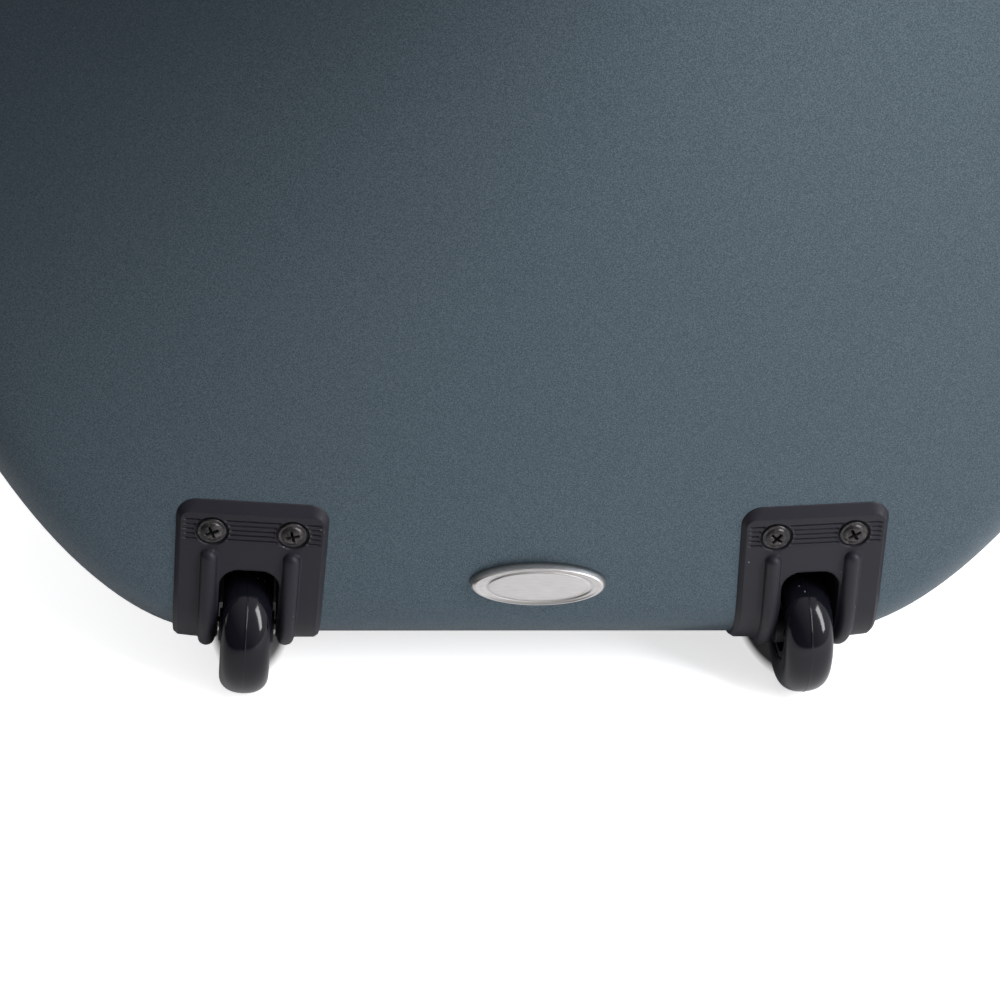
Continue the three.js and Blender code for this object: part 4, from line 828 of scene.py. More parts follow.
def fasteners(name, head, places, material, size=1.0):
    """A piece of heads at (point, outward, roll) places; points in the row frame, in metres."""
    mesh = bpy.data.meshes.new(name)
    mesh.from_pydata([tuple(point) for point, _, _ in places], [], [])
    turns = mesh.attributes.new("turn", "FLOAT_VECTOR", "POINT")
    for i, (_, outward, roll) in enumerate(places):
        toward = Vector(outward).to_track_quat("Z", "Y")
        turns.data[i].vector = (toward.to_matrix() @ Matrix.Rotation(roll, 3, "Z")).to_euler()
    piece = new_object(name, mesh)
    modifier = piece.modifiers.new("heads", "NODES")
    modifier.node_group = fastener_heads
    sockets = {item.name: item.identifier for item in fastener_heads.interface.items_tree
               if item.in_out == "INPUT"}
    for title, value in (("Head", head), ("Size", size), ("Finish", material)):
        modifier[sockets[title]] = value
    bpy.context.view_layer.update()
    apply_modifiers(piece)
    piece.data.name = name
    return piece


screw_black = screw_black_material()
screw_template = screw_head()
screw_rolls = {"left": (0.35, 0.2), "right": (0.9, 0.55)}
for side_name, side in sides.items():
    places = []
    for way, roll in zip((-1, 1), screw_rolls[side_name]):
        seat = back_plane - plate_thickness + seat_depth
        spot = leaned([(way * screw_spacing / 2, seat, screw_height)], side)
        places.append((in_row_frame(spot)[0], (0, -1, 0), roll))
    screws = fasteners(f"housing_screws_{side_name}", screw_template, places, screw_black)
    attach(screws, "back")
bpy.data.objects.remove(screw_template)

# The oval plate: a bare metal plate bonded to the back between the wheels. Its face is brushed, with a
# raised round rim and a fine dark line inside it, and its edge is rounded over.
oval_low, oval_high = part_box("oval_plate")
oval_middle = (oval_low + oval_high) / 2 / MM
oval_half_width = (oval_high.x - oval_low.x) / 2 / MM
oval_half_height = (oval_high.z - oval_low.z) / 2 / MM
oval_thickness = (oval_high.y - oval_low.y) / MM
oval_rim, oval_edge_round, oval_bead, oval_bead_width = 1.3, 0.7, 0.35, 0.45
oval_line_depth, oval_line_width = 0.45, 0.35
oval_place_shares = {"bead": 0.6, "line": 1.7}
polish_relief = 0.1 * MM


def polishing_lines(tree, stretch):
    """A noise stretched into fine lines, by how often it repeats in a metre along x, y and z."""
    place = turned_coordinates(tree, rotation=(0, 0, 0), scale=stretch)
    return add_node(tree, "ShaderNodeTexNoise", scale=1.0, detail=3.0, vector=place).outputs["Fac"]


def brushed_material():
    material = new_material("brushed_plate", roughness=0.3, metallic=0.9)
    tree = material.node_tree
    lines = polishing_lines(tree, (160, 300, 4000))
    colour = colour_ramp(tree, lines, [(0.3, (0.56, 0.54, 0.53)), (0.7, (0.66, 0.64, 0.63))])
    paint_shader(tree, colour, bump_from(tree, lines, strength=0.06, distance=polish_relief))
    return material


def oval_plate():
    around, shares = 128, np.concatenate([np.linspace(0.02, 0.7, 8), np.linspace(0.72, 1, 30)])
    points = []
    for share in shares:
        from_edge = (1 - share) * oval_half_height
        from_bead = (from_edge - oval_rim * oval_place_shares["bead"]) / oval_bead_width
        from_line = (from_edge - oval_rim * oval_place_shares["line"]) / oval_line_width
        relief = oval_bead * math.exp(-(from_bead**2)) - oval_line_depth * math.exp(-(from_line**2))
        over_edge = max(0, 1 - from_edge / oval_edge_round)
        edge = (oval_thickness - oval_bead) * math.sqrt(max(0, 1 - over_edge**2))
        for angle in np.linspace(0, 2 * math.pi, around, endpoint=False):
            points.append((share * oval_half_width * math.cos(angle), oval_thickness / 2 - edge - relief,
                           share * oval_half_height * math.sin(angle)))
    faces = ring_faces(len(shares), around)
    faces.append(tuple(range(around)))
    faces.append(tuple(range((len(shares) - 1) * around, len(shares) * around))[::-1])
    return piece_from("oval_plate_brushed", points, faces, brushed_material(),
                      place=Matrix.Translation(oval_middle * MM))


fitted(oval_plate(), "back", "oval_plate")

# The finishes of the fittings: nickel plate with faint polishing lines, black coated steel, hard-wearing
# rubber, and the plush of the lining and of the pads.
pile_relief = 0.6 * MM


def plated_material():
    material = new_material("nickel_plate", roughness=0.26, metallic=1.0)
    tree = material.node_tree
    lines = polishing_lines(tree, (300, 300, 2600))
    haze = object_noise(tree, scale=60, detail=4.0, roughness=0.6)
    colour = colour_ramp(tree, haze, [(0.3, (0.52, 0.52, 0.53)), (0.7, (0.64, 0.64, 0.65))])
    rough = colour_ramp(tree, haze, [(0.3, (0.34,) * 3), (0.7, (0.2,) * 3)])
    paint_shader(tree, colour, bump_from(tree, lines, strength=0.08, distance=polish_relief), rough)
    return material


def plush_material(name, dark, light):
    material = new_material(name, roughness=0.95)
    tree = material.node_tree
    pile = object_noise(tree, scale=900, detail=4.0, roughness=0.7)
    brushed = object_noise(tree, scale=22, detail=3.0, roughness=0.6)
    base = colour_ramp(tree, pile, [(0.3, dark), (0.7, light)])
    stroke = colour_ramp(tree, brushed, [(0.35, (0.8,) * 3), (0.65, (1.15,) * 3)])
    shader = paint_shader(tree, blend_colours(tree, "MULTIPLY", 1.0, base, stroke),
                          bump_from(tree, pile, strength=0.6, distance=pile_relief))
    shader.inputs["Sheen Weight"].default_value = 0.5
    shader.inputs["Sheen Roughness"].default_value = 0.45
    shader.inputs["Sheen Tint"].default_value = (0.55, 0.56, 0.62, 1)
    return material


nickel = plated_material()
black_coat = moulded_material("black_coat", (0.018, 0.018, 0.02), roughness=0.36, dust=0.1,
                              grain_scale=1500, grain_height=0.1, shine=0.5)
grip_rubber = moulded_material("grip_rubber", (0.014, 0.014, 0.015), roughness=0.62, dust=0.25,
                               grain_scale=1700, grain_height=0.3)
lining_plush = plush_material("lining_plush", (0.026, 0.026, 0.031), (0.07, 0.07, 0.08))
cushion_cloth = plush_material("cushion_cloth", (0.045, 0.045, 0.052), (0.11, 0.11, 0.124))

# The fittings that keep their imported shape: hinge leaves, latch bases, levers and keepers, anchors, handle
# bases and spinners. Each is a copy with its flats merged, its edges rounded over and its faces smoothed.
joints = {joint["name"]: joint for joint in frame["joints"]}
flat_within, sharp_over, node_merge = math.radians(1.5), math.radians(50), 0.002


def merged_copy(node):
    """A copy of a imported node's mesh, open for editing, with its loose triangles joined."""
    mesh = nodes[node].data.copy()
    work = bmesh.new()
    work.from_mesh(mesh)
    bmesh.ops.remove_doubles(work, verts=work.verts, dist=node_merge * MM)
    return mesh, work


def softened(node, body, material, slot, width):
    mesh, work = merged_copy(node)
    bmesh.ops.dissolve_limit(work, angle_limit=flat_within, verts=work.verts, edges=work.edges)
    sharp = [edge for edge in work.edges if edge.is_manifold and edge.calc_face_angle() > sharp_over]
    bmesh.ops.bevel(work, geom=sharp, offset=width * MM, offset_type="OFFSET", segments=3, profile=0.5,
                    affect="EDGES", clamp_overlap=True)
    work.to_mesh(mesh)
    work.free()
    mesh.materials.clear()
    mesh.materials.append(material)
    fitted(shade_by_angle(new_object(f"{node}_soft_edged", mesh), degrees=40), body, node)


latch_levels = ("lower", "middle", "upper")
softened_rows = [("bow_spinner_left", "spinner_left", black_coat, "black_steel", 0.8),
                 ("bow_spinner_right", "spinner_right", black_coat, "black_steel", 0.8),
                 ("side_handle_base", "back", rim_plastic, "rim_plastic", 1.0),
                 ("neck_handle_base", "back", rim_plastic, "rim_plastic", 1.0)]
for level in latch_levels:
    plated = [(f"hinge_{level}_back_leaf", "back"), (f"hinge_{level}_lid_leaf", "lid"),
              (f"latch_{level}_base", "back"), (f"latch_{level}_lever", f"lever_{level}"),
              (f"latch_{level}_keeper", "lid")]
    softened_rows += [(node, body, nickel, "plated_steel", 0.5) for node, body in plated]
ring_places = ("upper_left", "upper_right", "lower_left", "lower_right")
softened_rows += [(f"strap_anchor_{place}", "back", black_coat, "black_steel", 0.5) for place in ring_places]
for row in softened_rows:
    softened(*row)

# The turned fittings: hinge pins with domed heads, the wheels' axles, the latches' bails, the strap rings
# and the two grips, each written in the frame of its joint: x outwards, y onwards and z along the axis.
outward_left, outward_right = Vector((-1, 0, 0)), Vector((1, 0, 0))
toward_lid, upward_way = Vector((0, 1, 0)), Vector((0, 0, 1))


def place_on(axis, origin, outward, onward):
    z = Vector(axis).normalized()
    x = (outward - outward.dot(z) * z).normalized()
    if z.cross(x).dot(onward) < 0:
        z = -z
    return Matrix.Translation(origin) @ Matrix((x, z.cross(x), z)).transposed().to_4x4()


def joint_place(name, outward, onward):
    return place_on(joints[name]["axis"], joints[name]["pos_m"], outward, onward)


def widest_normal(node):
    """The way that the widest flat on the outside of a base on the back faces."""
    areas, ways = {}, {}
    for face in nodes[node].data.polygons:
        key = tuple(round(value, 2) for value in face.normal)
        if face.normal.y < -0.5:
            areas[key] = areas.get(key, 0) + face.area
            ways[key] = ways.get(key, Vector()) + face.normal * face.area
    return ways[max(areas, key=areas.get)].normalized()


def turned(name, profile, place, material, segments=40):
    """Turns a closed profile of [radius, height] pairs about the z axis of a place."""
    points = [(r * math.cos(a), r * math.sin(a), h)
              for a in np.linspace(0, 2 * math.pi, segments, endpoint=False) for r, h in profile]
    piece = piece_from(name, points, ring_faces(segments, len(profile), closed=True), material, place=place)
    return shade_by_angle(piece)


def arc_points(centre, radius, start, end, steps=12):
    angles = np.radians(np.linspace(start, end, steps + 1))
    return np.stack([centre[0] + radius * np.cos(angles), centre[1] + radius * np.sin(angles)], 1).tolist()


def bow_path(reach, half, bend):
    """A bow with two arms and round corners, as [reach, side] pairs."""
    return ([[0, -half]] + arc_points((reach - bend, bend - half), bend, -90, 0)
            + arc_points((reach - bend, half - bend), bend, 0, 90) + [[0, half]])


def swept_bar(name, path, first, second, radius, place, material, closed=False, around=18):
    """A round bar along a path of [first, second] pairs in the plane of those two ways."""
    first, second = np.array(first, float), np.array(second, float)
    spots = np.array([a * first + b * second for a, b in path])
    ahead, behind = np.roll(spots, -1, 0) - spots, spots - np.roll(spots, 1, 0)
    if not closed:
        ahead[-1], behind[0] = behind[-1], ahead[0]
    tangents = (ahead / np.linalg.norm(ahead, axis=1)[:, None]
                + behind / np.linalg.norm(behind, axis=1)[:, None])
    tangents /= np.linalg.norm(tangents, axis=1)[:, None]
    flat = np.cross(first, second)
    aside = np.cross(tangents, flat)
    points = [spot + radius * (math.cos(a) * flat + math.sin(a) * side_way)
              for spot, side_way in zip(spots, aside)
              for a in np.linspace(0, 2 * math.pi, around, endpoint=False)]
    faces = ring_faces(len(spots), around, closed)
    if not closed:
        faces += [tuple(range(around))[::-1], tuple(range((len(spots) - 1) * around, len(spots) * around))]
    return piece_from(name, points, faces, material, place=place)


def joined(name, pieces):
    """One object from several pieces of one material."""
    work = bmesh.new()
    for piece in pieces:
        work.from_mesh(piece.data)
    mesh = bpy.data.meshes.new(name)
    work.to_mesh(mesh)
    work.free()
    mesh.materials.append(pieces[0].data.materials[0])
    for piece in pieces:
        bpy.data.objects.remove(piece)
    return shade_by_angle(new_object(name, mesh), degrees=40)


def drum(radius, low, high, round_over=0.5):
    """The profile of a plain turned drum with rounded rims."""
    corners = [(0, low), (radius, low), (radius, high), (0, high)]
    return rounded_section(corners, [0, round_over, round_over, 0])


def middle_place(node, joint, outward, onward):
    """The place on a joint's axis that has a turned node's own middle as its origin."""
    low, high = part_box(node)
    return place_on(joints[joint]["axis"], (low + high) / 2, outward, onward)


hinge_pin_radius, hinge_pin_head, hinge_pin_half, hinge_head_height = 2, 3.4, 32.5, 1.2
hinge_head_edge, hinge_head_shoulder = 0.5, 0.95
hinge_head_shares = {"shoulder": 0.86, "top": 0.5}
head_low = hinge_pin_half - hinge_head_height
pin_end = [(hinge_pin_radius, head_low), (hinge_pin_head, head_low),
           (hinge_pin_head, head_low + hinge_head_edge),
           (hinge_pin_head * hinge_head_shares["shoulder"], head_low + hinge_head_shoulder),
           (hinge_pin_head * hinge_head_shares["top"], hinge_pin_half), (0, hinge_pin_half)]
pin_profile = [(r, -h) for r, h in pin_end[::-1]] + pin_end
for level in latch_levels:
    place = middle_place(f"hinge_{level}_pin", "lid_swing", outward_right, toward_lid)
    pin = turned(f"hinge_{level}_pin_turned", pin_profile, place, nickel)
    fitted(pin, "back", f"hinge_{level}_pin")

axle_half = 14.6
for side_name in sides:
    place = middle_place(f"wheel_axle_{side_name}", f"wheel_{side_name}_roll", -toward_lid, upward_way)
    axle = turned(f"wheel_axle_turned_{side_name}", drum(axle_radius, -axle_half, axle_half), place, nickel)
    fitted(axle, "back", f"wheel_axle_{side_name}")

bail_wire, bail_half, bail_bend, bail_bore, bail_eye, bail_eye_round = 1.4, 7, 1.68, 2.3, 3.7, 0.4
bail_forward, bail_drop = 51.5, 1.3
reach = math.hypot(bail_forward, bail_drop)
forward = (-bail_drop / reach, bail_forward / reach, 0)
for level in latch_levels:
    place = joint_place(f"bail_{level}_turn", outward_left, toward_lid)
    wire = swept_bar("wire", bow_path(reach, bail_half, bail_bend)[1:-1], forward, upward_way, bail_wire,
                     place, nickel)
    arms, eyes = [], []
    for side in sides.values():
        middle = side * bail_half
        path = [[bail_bore + bail_wire / 2, middle], [reach - bail_bend, middle]]
        arms.append(swept_bar("arm", path, forward, upward_way, bail_wire, place, nickel))
        low, high = middle - bail_wire, middle + bail_wire
        corners = [(bail_bore, low), (bail_eye, low), (bail_eye, high), (bail_bore, high)]
        eyes.append(turned("eye", rounded_section(corners, [bail_eye_round] * 4), place, nickel))
    bail = joined(f"latch_{level}_bail_wire", [wire, *arms, *eyes])
    fitted(bail, f"bail_{level}", f"latch_{level}_bail")

ring_wire, ring_half, ring_drop, ring_corner = 2.1, 17.1, 24, 4.2
ring_path = (arc_points((-ring_corner, ring_half - ring_corner), ring_corner, 0, 90, 8)
             + arc_points((ring_half - ring_drop, 0), ring_half, 90, 270, 40)
             + arc_points((-ring_corner, ring_corner - ring_half), ring_corner, 270, 360, 8))
ring_frames = {}
for spot_name in ring_places:
    outward = widest_normal(f"strap_anchor_{spot_name}")
    ring_frames[spot_name] = joint_place(f"ring_{spot_name}_swing", outward, upward_way)
    ring = swept_bar(f"strap_ring_bent_{spot_name}", ring_path, toward_lid, upward_way, ring_wire,
                     ring_frames[spot_name], nickel, closed=True)
    fitted(ring, f"ring_{spot_name}", f"strap_ring_{spot_name}")

arm_radius, grip_radius, grip_reach, grip_lift = 4.2, 7.2, 34, 1.4
eye_radius, eye_edge_round, grip_pin_radius, grip_pin_reach = 5, 0.8, 2.5, 11.7
grip_length_share, rib_pitch, rib_depth = 0.72, 3.6, 0.45
handles = {"side": {"span": 128, "place": joint_place("side_grip_fold", outward_left, toward_lid)},
           "neck": {"span": 76, "place": joint_place("neck_grip_fold", widest_normal("neck_handle_base"),
                                                     upward_way)}}


def grip_profile(half):
    """The sleeve's outside: rounded ends and soft ribs for the fingers along its middle."""
    heights = np.linspace(-half, half, int(half * 4))
    from_end = half - np.abs(heights)
    end_share = np.clip(1 - (1 - from_end / grip_radius) ** 2, 0, 1)
    swell_share = np.sqrt(np.where(from_end < grip_radius, end_share, 1))
    swell = arm_radius + (grip_radius - arm_radius) * swell_share
    ribbed = smooth_step(from_end, grip_radius, grip_radius + rib_pitch)
    radii = swell - rib_depth * ribbed * (0.5 - 0.5 * np.cos(2 * math.pi * heights / rib_pitch)) ** 3
    return [(0, -half), *zip(radii, heights), (0, half)]


for handle_name, handle in handles.items():
    half, place = handle["span"] / 2 - arm_radius, handle["place"]
    lean = math.atan2(grip_lift, grip_reach)
    reach_way = (math.sin(lean), -math.cos(lean), 0)
    bow = swept_bar("bow", bow_path(grip_reach, half, grip_reach / 3), reach_way, upward_way, arm_radius,
                    place, grip_rubber)
    ends = []
    for side in sides.values():
        middle, far = side * half, side * (half + grip_pin_reach)
        eye = drum(eye_radius, middle - arm_radius, middle + arm_radius, eye_edge_round)
        pin = drum(grip_pin_radius, *sorted((middle, far)))
        ends += [turned("eye", eye, place, grip_rubber), turned("pin", pin, place, grip_rubber)]
    bow = joined(f"{handle_name}_grip_bow", [bow, *ends])
    sleeve_place = place @ Matrix.Translation(Vector(reach_way) * grip_reach * MM)
    sleeve = turned(f"{handle_name}_grip_sleeve", grip_profile(handle["span"] / 2 * grip_length_share),
                    sleeve_place, grip_rubber, segments=56)
    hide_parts(f"{handle_name}_handle_grip")
    for piece in (bow, sleeve):
        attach(piece, f"{handle_name}_grip")

# The rubber feet under the back: moulded pads that widen towards the shell, with a rounded bottom edge and
# three shallow ridges round them.
foot_radius, foot_top_radius, foot_chamfer = 15, 17, 1.5
foot_ridge_count, foot_ridge_depth = 3, 0.35
foot_ridge_shares = {"start": 1.5, "end": 0.8}
for side_name in sides:
    low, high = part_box(f"foot_{side_name}")
    height = (high.z - low.z) / MM
    ridge_end = height * foot_ridge_shares["end"]
    profile = [(0, 0)] + rounded_corner((foot_radius, 0), (0, 0), (foot_radius, height), foot_chamfer)
    for h in np.linspace(foot_chamfer * foot_ridge_shares["start"], ridge_end, 40):
        wave = math.sin(math.pi * foot_ridge_count * (h - foot_chamfer) / ridge_end) ** 2
        widened = foot_radius + (foot_top_radius - foot_radius) * h / height
        profile.append((widened - foot_ridge_depth * wave, h))
    profile += [(foot_top_radius, height), (0, height)]
    middle = (low + high) / 2
    foot = turned(f"foot_moulded_{side_name}", profile, Matrix.Translation((middle.x, middle.y, low.z)),
                  grip_rubber, segments=64)
    fitted(foot, "back", f"foot_{side_name}")

# The rivets and screws of the fittings: domed nickel rivets in the hinge leaves, latch bases and keepers,
# and small black screws in the handle bases and anchors. The same Geometry Nodes as for the housing screws
# put them on their faces.
hinge_axis_height, leaf_face_height, leaf_reach, leaf_side = 8, 4.5, 26, 19
lever_axis_height, latch_face_height, keeper_face_height = 11.5, 2.6, 4.7
latch_rivet_back, latch_rivet_side, keeper_rivet_forward, keeper_rivet_side = 31, 15, 48, 9
grip_axis_height, handle_face_height, handle_screw_inset, handle_screw_side = 9.6, 3, 15, 7
ring_axis_height, anchor_face_height, anchor_screw_side = 6.8, 2.6, 15
rivet_radius, rivet_dome, rivet_edge = 2.4, 1.1, 0.2
first_roll, next_roll = 0.3, 0.7
head_spots = {"hinge_rivets": [], "latch_rivets": [], "keeper_rivets": [], "handle_screws": [],
              "anchor_screws": []}


def add_heads(row, place, face, side, onwards=(0,)):
    """Pairs of heads on a face, at its height over the joint's axis, each turned further than the last."""
    spots = [Vector((face, onward, way * side)) for onward in onwards for way in (-1, 1)]
    for i, spot in enumerate(spots):
        outward = place.to_3x3() @ Vector((1, 0, 0))
        head_spots[row].append((place @ (spot * MM), outward, first_roll + i * next_roll))


for level in latch_levels:
    place = middle_place(f"hinge_{level}_pin", "lid_swing", outward_right, toward_lid)
    leaf_face = leaf_face_height - hinge_axis_height
    add_heads("hinge_rivets", place, leaf_face, leaf_side, [-leaf_reach])
    add_heads("keeper_rivets", place, leaf_face, leaf_side, [leaf_reach])
    place = joint_place(f"lever_{level}_lift", outward_left, toward_lid)
    add_heads("latch_rivets", place, latch_face_height - lever_axis_height, latch_rivet_side,
              [-latch_rivet_back])
    add_heads("keeper_rivets", place, keeper_face_height - lever_axis_height, keeper_rivet_side,
              [keeper_rivet_forward])
for handle in handles.values():
    add_heads("handle_screws", handle["place"], handle_face_height - grip_axis_height,
              handle["span"] / 2 - handle_screw_inset, [-handle_screw_side, handle_screw_side])
for place in ring_frames.values():
    add_heads("anchor_screws", place, anchor_face_height - ring_axis_height, anchor_screw_side)


def rivet_head():
    dome = [(rivet_radius * r, rivet_dome * math.sqrt(max(0, 1 - r**2)) + rivet_edge * (r < 1))
            for r in np.linspace(0, 1, 12)[:0:-1]]
    profile = [(0, 0), *dome, (0, rivet_dome + rivet_edge)]
    return turned("rivet_head", profile, Matrix.Identity(4), nickel, segments=32)


rivet_template, small_screw_template = rivet_head(), screw_head()
head_rows = [("hinge_rivets", "back", rivet_template, nickel, "plated_steel", 1.0),
             ("latch_rivets", "back", rivet_template, nickel, "plated_steel", 0.9),
             ("keeper_rivets", "lid", rivet_template, nickel, "plated_steel", 0.9),
             ("handle_screws", "back", small_screw_template, screw_black, "black_steel", 0.55),
             ("anchor_screws", "back", small_screw_template, screw_black, "black_steel", 0.42)]
for name, body, template, material, slot, size in head_rows:
    heads = fasteners(name, template, head_spots[name], material, size)
    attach(heads, body)
for template in (rivet_template, small_screw_template):
    bpy.data.objects.remove(template)

# The inside of the shells: 8 mm of foam under plush, rolled over at its edge beside the rims. Its face
# rises and falls a little, as glued foam does, and the back's lining is cut out round the wheel wells.
lining_near, lining_far = 3.3, 11.3
lining_start = rim_reach + fit
lining_round = (lining_far - lining_near) / 2
wave_height, wave_offset_share, wave_turn = 0.45, 1.2, 1.3
long_wave, cross_wave, short_wave, slant_wave = 61, 47, 23, 31


def lining_piece(name, half):
    edge = []
    face_start = lining_start + lining_round
    for angle in np.linspace(0, math.pi, 9)[1:-1]:
        grow = -lining_near - lining_round + lining_round * math.cos(angle)
        edge.append(case_rings(half, grow, face_start - lining_round * math.sin(angle), 1, 1, 1)[0])
    outer = case_rings(half, -lining_near, face_start, 8, 6, 8)
    inner = case_rings(half, -lining_far, face_start, 16, 10, 24)
    for i, ring in enumerate(inner):
        x, z = ring[:, 0], ring[:, 2]
        wave = np.sin(z / long_wave) * np.sin(x / cross_wave + wave_turn)
        wave = wave + np.sin(z / short_wave + x / slant_wave)
        ring[:, 1] -= half["sign"] * wave_height * (wave + wave_offset_share) * min(1, i / 4)
    rings = outer[::-1] + edge + inner
    return piece_from(name, np.concatenate(rings), ring_faces(len(rings), len(outline)), lining_plush)


for half_name, half in shell_halves.items():
    lining = lining_piece(f"{half_name}_lining_plush", half)
    if half_name == "back":
        shade_by_angle(cut_wells(lining), degrees=60)
    fitted(lining, half_name, f"{half_name}_lining")

# The pads: foam under cloth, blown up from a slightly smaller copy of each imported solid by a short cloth
# simulation with pressure and no gravity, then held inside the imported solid.
cloth_frames, cloth_quality, cloth_pressure, cloth_cap = 20, 4, 4, 8
pads = {"lower_pad_left": (5, 0.94, 0.7), "lower_pad_right": (5, 0.94, 0.7), "upper_pad_left": (5, 0.94, 0.7),
        "upper_pad_right": (5, 0.94, 0.7), "neck_cradle": (5, 0.95, 0.8), "endpin_block": (4, 0.95, 0.8),
        "bow_rest": (4, 0.96, 0.8)}


def stuffed(node, voxel, start_share):
    """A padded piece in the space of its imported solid."""
    solid = nodes[node]
    mesh, work = merged_copy(node)
    middle = sum((vert.co for vert in work.verts), Vector()) / len(work.verts)
    for vert in work.verts:
        vert.co = middle + (vert.co - middle) * start_share
    work.to_mesh(mesh)
    work.free()
    piece = new_object(f"{node}_stuffed", mesh)
    remesh = piece.modifiers.new("remesh", "REMESH")
    remesh.mode = "VOXEL"
    remesh.voxel_size = voxel * MM
    apply_modifiers(piece)
    before = [vert.co.copy() for vert in piece.data.vertices]
    cloth = piece.modifiers.new("cloth", "CLOTH")
    cloth.settings.quality = cloth_quality
    cloth.settings.use_pressure = True
    cloth.settings.uniform_pressure_force = cloth_pressure
    cloth.settings.effector_weights.gravity = 0
    for number in range(1, cloth_frames + 1):
        bpy.context.scene.frame_set(number)
    apply_modifiers(piece)
    bpy.context.scene.frame_set(1)
    for vert, start in zip(piece.data.vertices, before):
        moved = vert.co - start
        if moved.length > cloth_cap * MM:
            vert.co = start + moved.normalized() * cloth_cap * MM
        found, spot, normal, _ = solid.closest_point_on_mesh(vert.co)
        if found and (vert.co - spot).dot(normal) > 0:
            vert.co = spot
    subdivide = piece.modifiers.new("subdivide", "SUBSURF")
    subdivide.levels = subdivide.render_levels = 1
    apply_modifiers(piece)
    piece.data.materials.clear()
    piece.data.materials.append(cushion_cloth)
    for face in piece.data.polygons:
        face.use_smooth = True
    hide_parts(node)
    return piece


for node, (voxel, start_share, fill) in pads.items():
    pad = stuffed(node, voxel, start_share)
    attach(pad, "lid" if node == "bow_rest" else "back")

# The floor: white to the camera all round, with the case's soft shadow on it. Where the wheels stand, two
# small ovals hold painted shadow for the camera alone: the lift towards white is taken away and the colour
# dimmed, so the shadow there is partly real and partly painted. All other rays see a floor that is dark to
# the left and towards the camera, so that the paint is as dark on that side as the photographed one.
floor_half = 40000
# The third value below is the floor's colour inside the two ovals of painted shadow by the wheels; the
# contact values put those ovals behind the wheels, squeeze them and fade them out.
floor_lift, floor_white, floor_painted_shadow = 0.68, 0.95, 0.4
floor_way, floor_fade_start, floor_fade_end = (1, 0.55, 0), -0.66, -0.1
contact_behind, contact_squeeze, contact_start, contact_end = 42, (2.5, 1, 0), 0.036, 0.044
floor_corners = [(-floor_half, -floor_half, 0), (floor_half, -floor_half, 0), (floor_half, floor_half, 0),
                 (-floor_half, floor_half, 0)]
floor = piece_from("floor", floor_corners, [(0, 1, 2, 3)], smooth=False)


def floor_material():
    material = new_material("floor_white", roughness=0.95)
    tree = material.node_tree
    place = tree.nodes.new("ShaderNodeTexCoord").outputs["Object"]
    to_camera = tree.nodes.new("ShaderNodeLightPath").outputs["Is Camera Ray"]
    along = calculated(tree, "ShaderNodeVectorMath", "DOT_PRODUCT", place, floor_way)
    shade = add_node(tree, "ShaderNodeMapRange", value=along, from_min=floor_fade_start,
                     from_max=floor_fade_end, to_max=floor_white)
    lift = calculated(tree, "ShaderNodeMath", "MULTIPLY", to_camera, floor_lift)
    # Painted shadow: in an oval by each wheel the camera's lift towards white is taken away, darkening the
    # floor where the wheels' real shadow also falls.
    for side in sides.values():
        contact = in_row_frame(leaned([(0, contact_behind, 0)], side))[0] * [1, 1, 0]
        under = calculated(tree, "ShaderNodeVectorMath", "SUBTRACT", place, tuple(contact))
        squeezed = calculated(tree, "ShaderNodeVectorMath", "MULTIPLY", under, contact_squeeze)
        length = calculated(tree, "ShaderNodeVectorMath", "LENGTH", squeezed)
        clear = add_node(tree, "ShaderNodeMapRange", value=length, from_min=contact_start,
                         from_max=contact_end)
        lift = calculated(tree, "ShaderNodeMath", "MULTIPLY", lift, clear.outputs["Result"])
    # Where the lift was taken away, the camera sees the floor's colour dimmed to the painted shadow's shade.
    seen = add_node(tree, "ShaderNodeMapRange", value=lift, from_max=floor_lift, to_min=floor_painted_shadow,
                    to_max=floor_white)
    shader = tree.nodes["Principled BSDF"]
    feed(tree, shader.inputs["Base Color"], blend_colours(
        tree, "MIX", to_camera, shade.outputs["Result"], seen.outputs["Result"]))
    feed(tree, shader.inputs["Emission Strength"], lift)
    shader.inputs["Emission Color"].default_value = (1, 1, 1, 1)
    shader.inputs["Specular IOR Level"].default_value = 0.0
    return material


floor.data.materials.append(floor_material())

# The world: white to the camera and through glass, and for everything else a light that rises from black
# at the left and on the camera's side to white at the right, on the far side and above. Glossy rays see a
# little of the white too.
world_way, world_fade_start, world_fade_end, mirrored_share = (0.8, 0.55, 0.55), -0.55, 0.9, 0.04


def studio_world():
    world = bpy.data.worlds.new("studio")
    world.use_nodes = True
    tree = world.node_tree
    place = tree.nodes.new("ShaderNodeTexCoord").outputs["Generated"]
    along = calculated(tree, "ShaderNodeVectorMath", "DOT_PRODUCT", place, world_way)
    shade = add_node(tree, "ShaderNodeMapRange", value=along, from_min=world_fade_start,
                     from_max=world_fade_end)
    rays = tree.nodes.new("ShaderNodeLightPath").outputs
    mirrored = calculated(tree, "ShaderNodeMath", "MULTIPLY", rays["Is Glossy Ray"], mirrored_share)
    clear = calculated(tree, "ShaderNodeMath", "MAXIMUM", rays["Is Camera Ray"], rays["Is Transmission Ray"])
    seen = calculated(tree, "ShaderNodeMath", "MAXIMUM", mirrored, clear)
    background = tree.nodes["Background"]
    feed(tree, background.inputs["Color"],
         blend_colours(tree, "MIX", seen, shade.outputs["Result"], (1.0, 1.0, 1.0)))
    background.inputs["Strength"].default_value = 1.0
    return world


bpy.context.scene.world = studio_world()

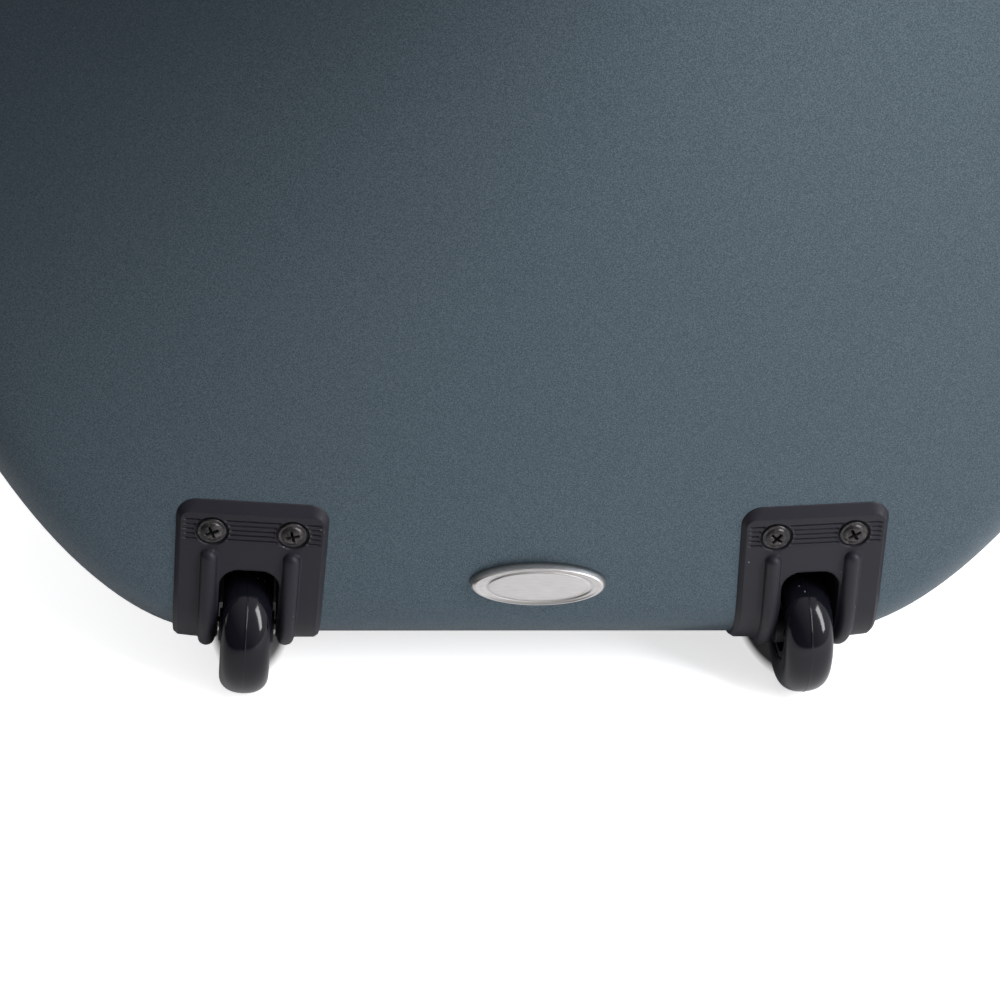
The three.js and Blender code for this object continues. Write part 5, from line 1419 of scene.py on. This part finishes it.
# The lamps: soft rectangles, each with its place, what it points at, its width and height in metres, its
# power in watts, whether gloss mirrors it, and its colour. The key is narrow and gives the tyres one streak.
lamps = {
    "key": ((1500, -1300, 1500), (100, -250, 100), (0.5, 1.8), 42, True, (0.97, 0.97, 1.0)),
    "fill": ((-1900, -900, 1400), (0, -100, 500), (1.6, 1.6), 1.5, False, (1, 1, 1)),
    "top": ((300, -500, 2900), (100, -300, 300), (1.6, 1.6), 22, False, (1, 1, 1)),
    "latch side": ((-2300, 900, 1100), (-100, 0, 600), (2.2, 2.2), 24, True, (1, 1, 1)),
}
for name, (place, target, size, power, in_gloss, colour) in lamps.items():
    lamp = bpy.data.lights.new(name, "AREA")
    lamp.shape = "RECTANGLE"
    lamp.size, lamp.size_y = size
    lamp.energy = power
    lamp.color = colour
    light = new_object(name, lamp)
    light.location = in_row_frame([place])[0]
    toward = Vector(in_row_frame([target])[0]) - light.location
    light.rotation_euler = toward.to_track_quat("-Z", "Y").to_euler()
    light.visible_glossy = in_gloss

# The camera of the photograph: close behind the case's lower back, a little above it, looking down and
# rolled by a few degrees.
camera_place = (-80.3, -795.7, 528.7)
camera_yaw, camera_pitch, camera_roll = math.radians(5.985), math.radians(-34.62), math.radians(3.7)
camera_lens, camera_sensor, camera_reach = 72.34, 36, 200
camera_data = bpy.data.cameras.new("photograph")
camera_data.lens = camera_lens
camera_data.sensor_width = camera_sensor
camera_data.clip_end = camera_reach
camera = new_object("photograph", camera_data)
bpy.context.scene.camera = camera
ahead = Vector((math.sin(camera_yaw) * math.cos(camera_pitch), math.cos(camera_yaw) * math.cos(camera_pitch),
                math.sin(camera_pitch)))
level = ahead.cross(upward_way).normalized()
upward = level.cross(ahead)
right = level * math.cos(camera_roll) + upward * math.sin(camera_roll)
camera_up = right.cross(ahead)
turn = Matrix((right, camera_up, -ahead)).transposed()
camera.matrix_world = Matrix.Translation(Vector(in_row_frame([camera_place])[0])) @ turn.to_4x4()

scene = bpy.context.scene
scene.view_settings.view_transform = "Standard"
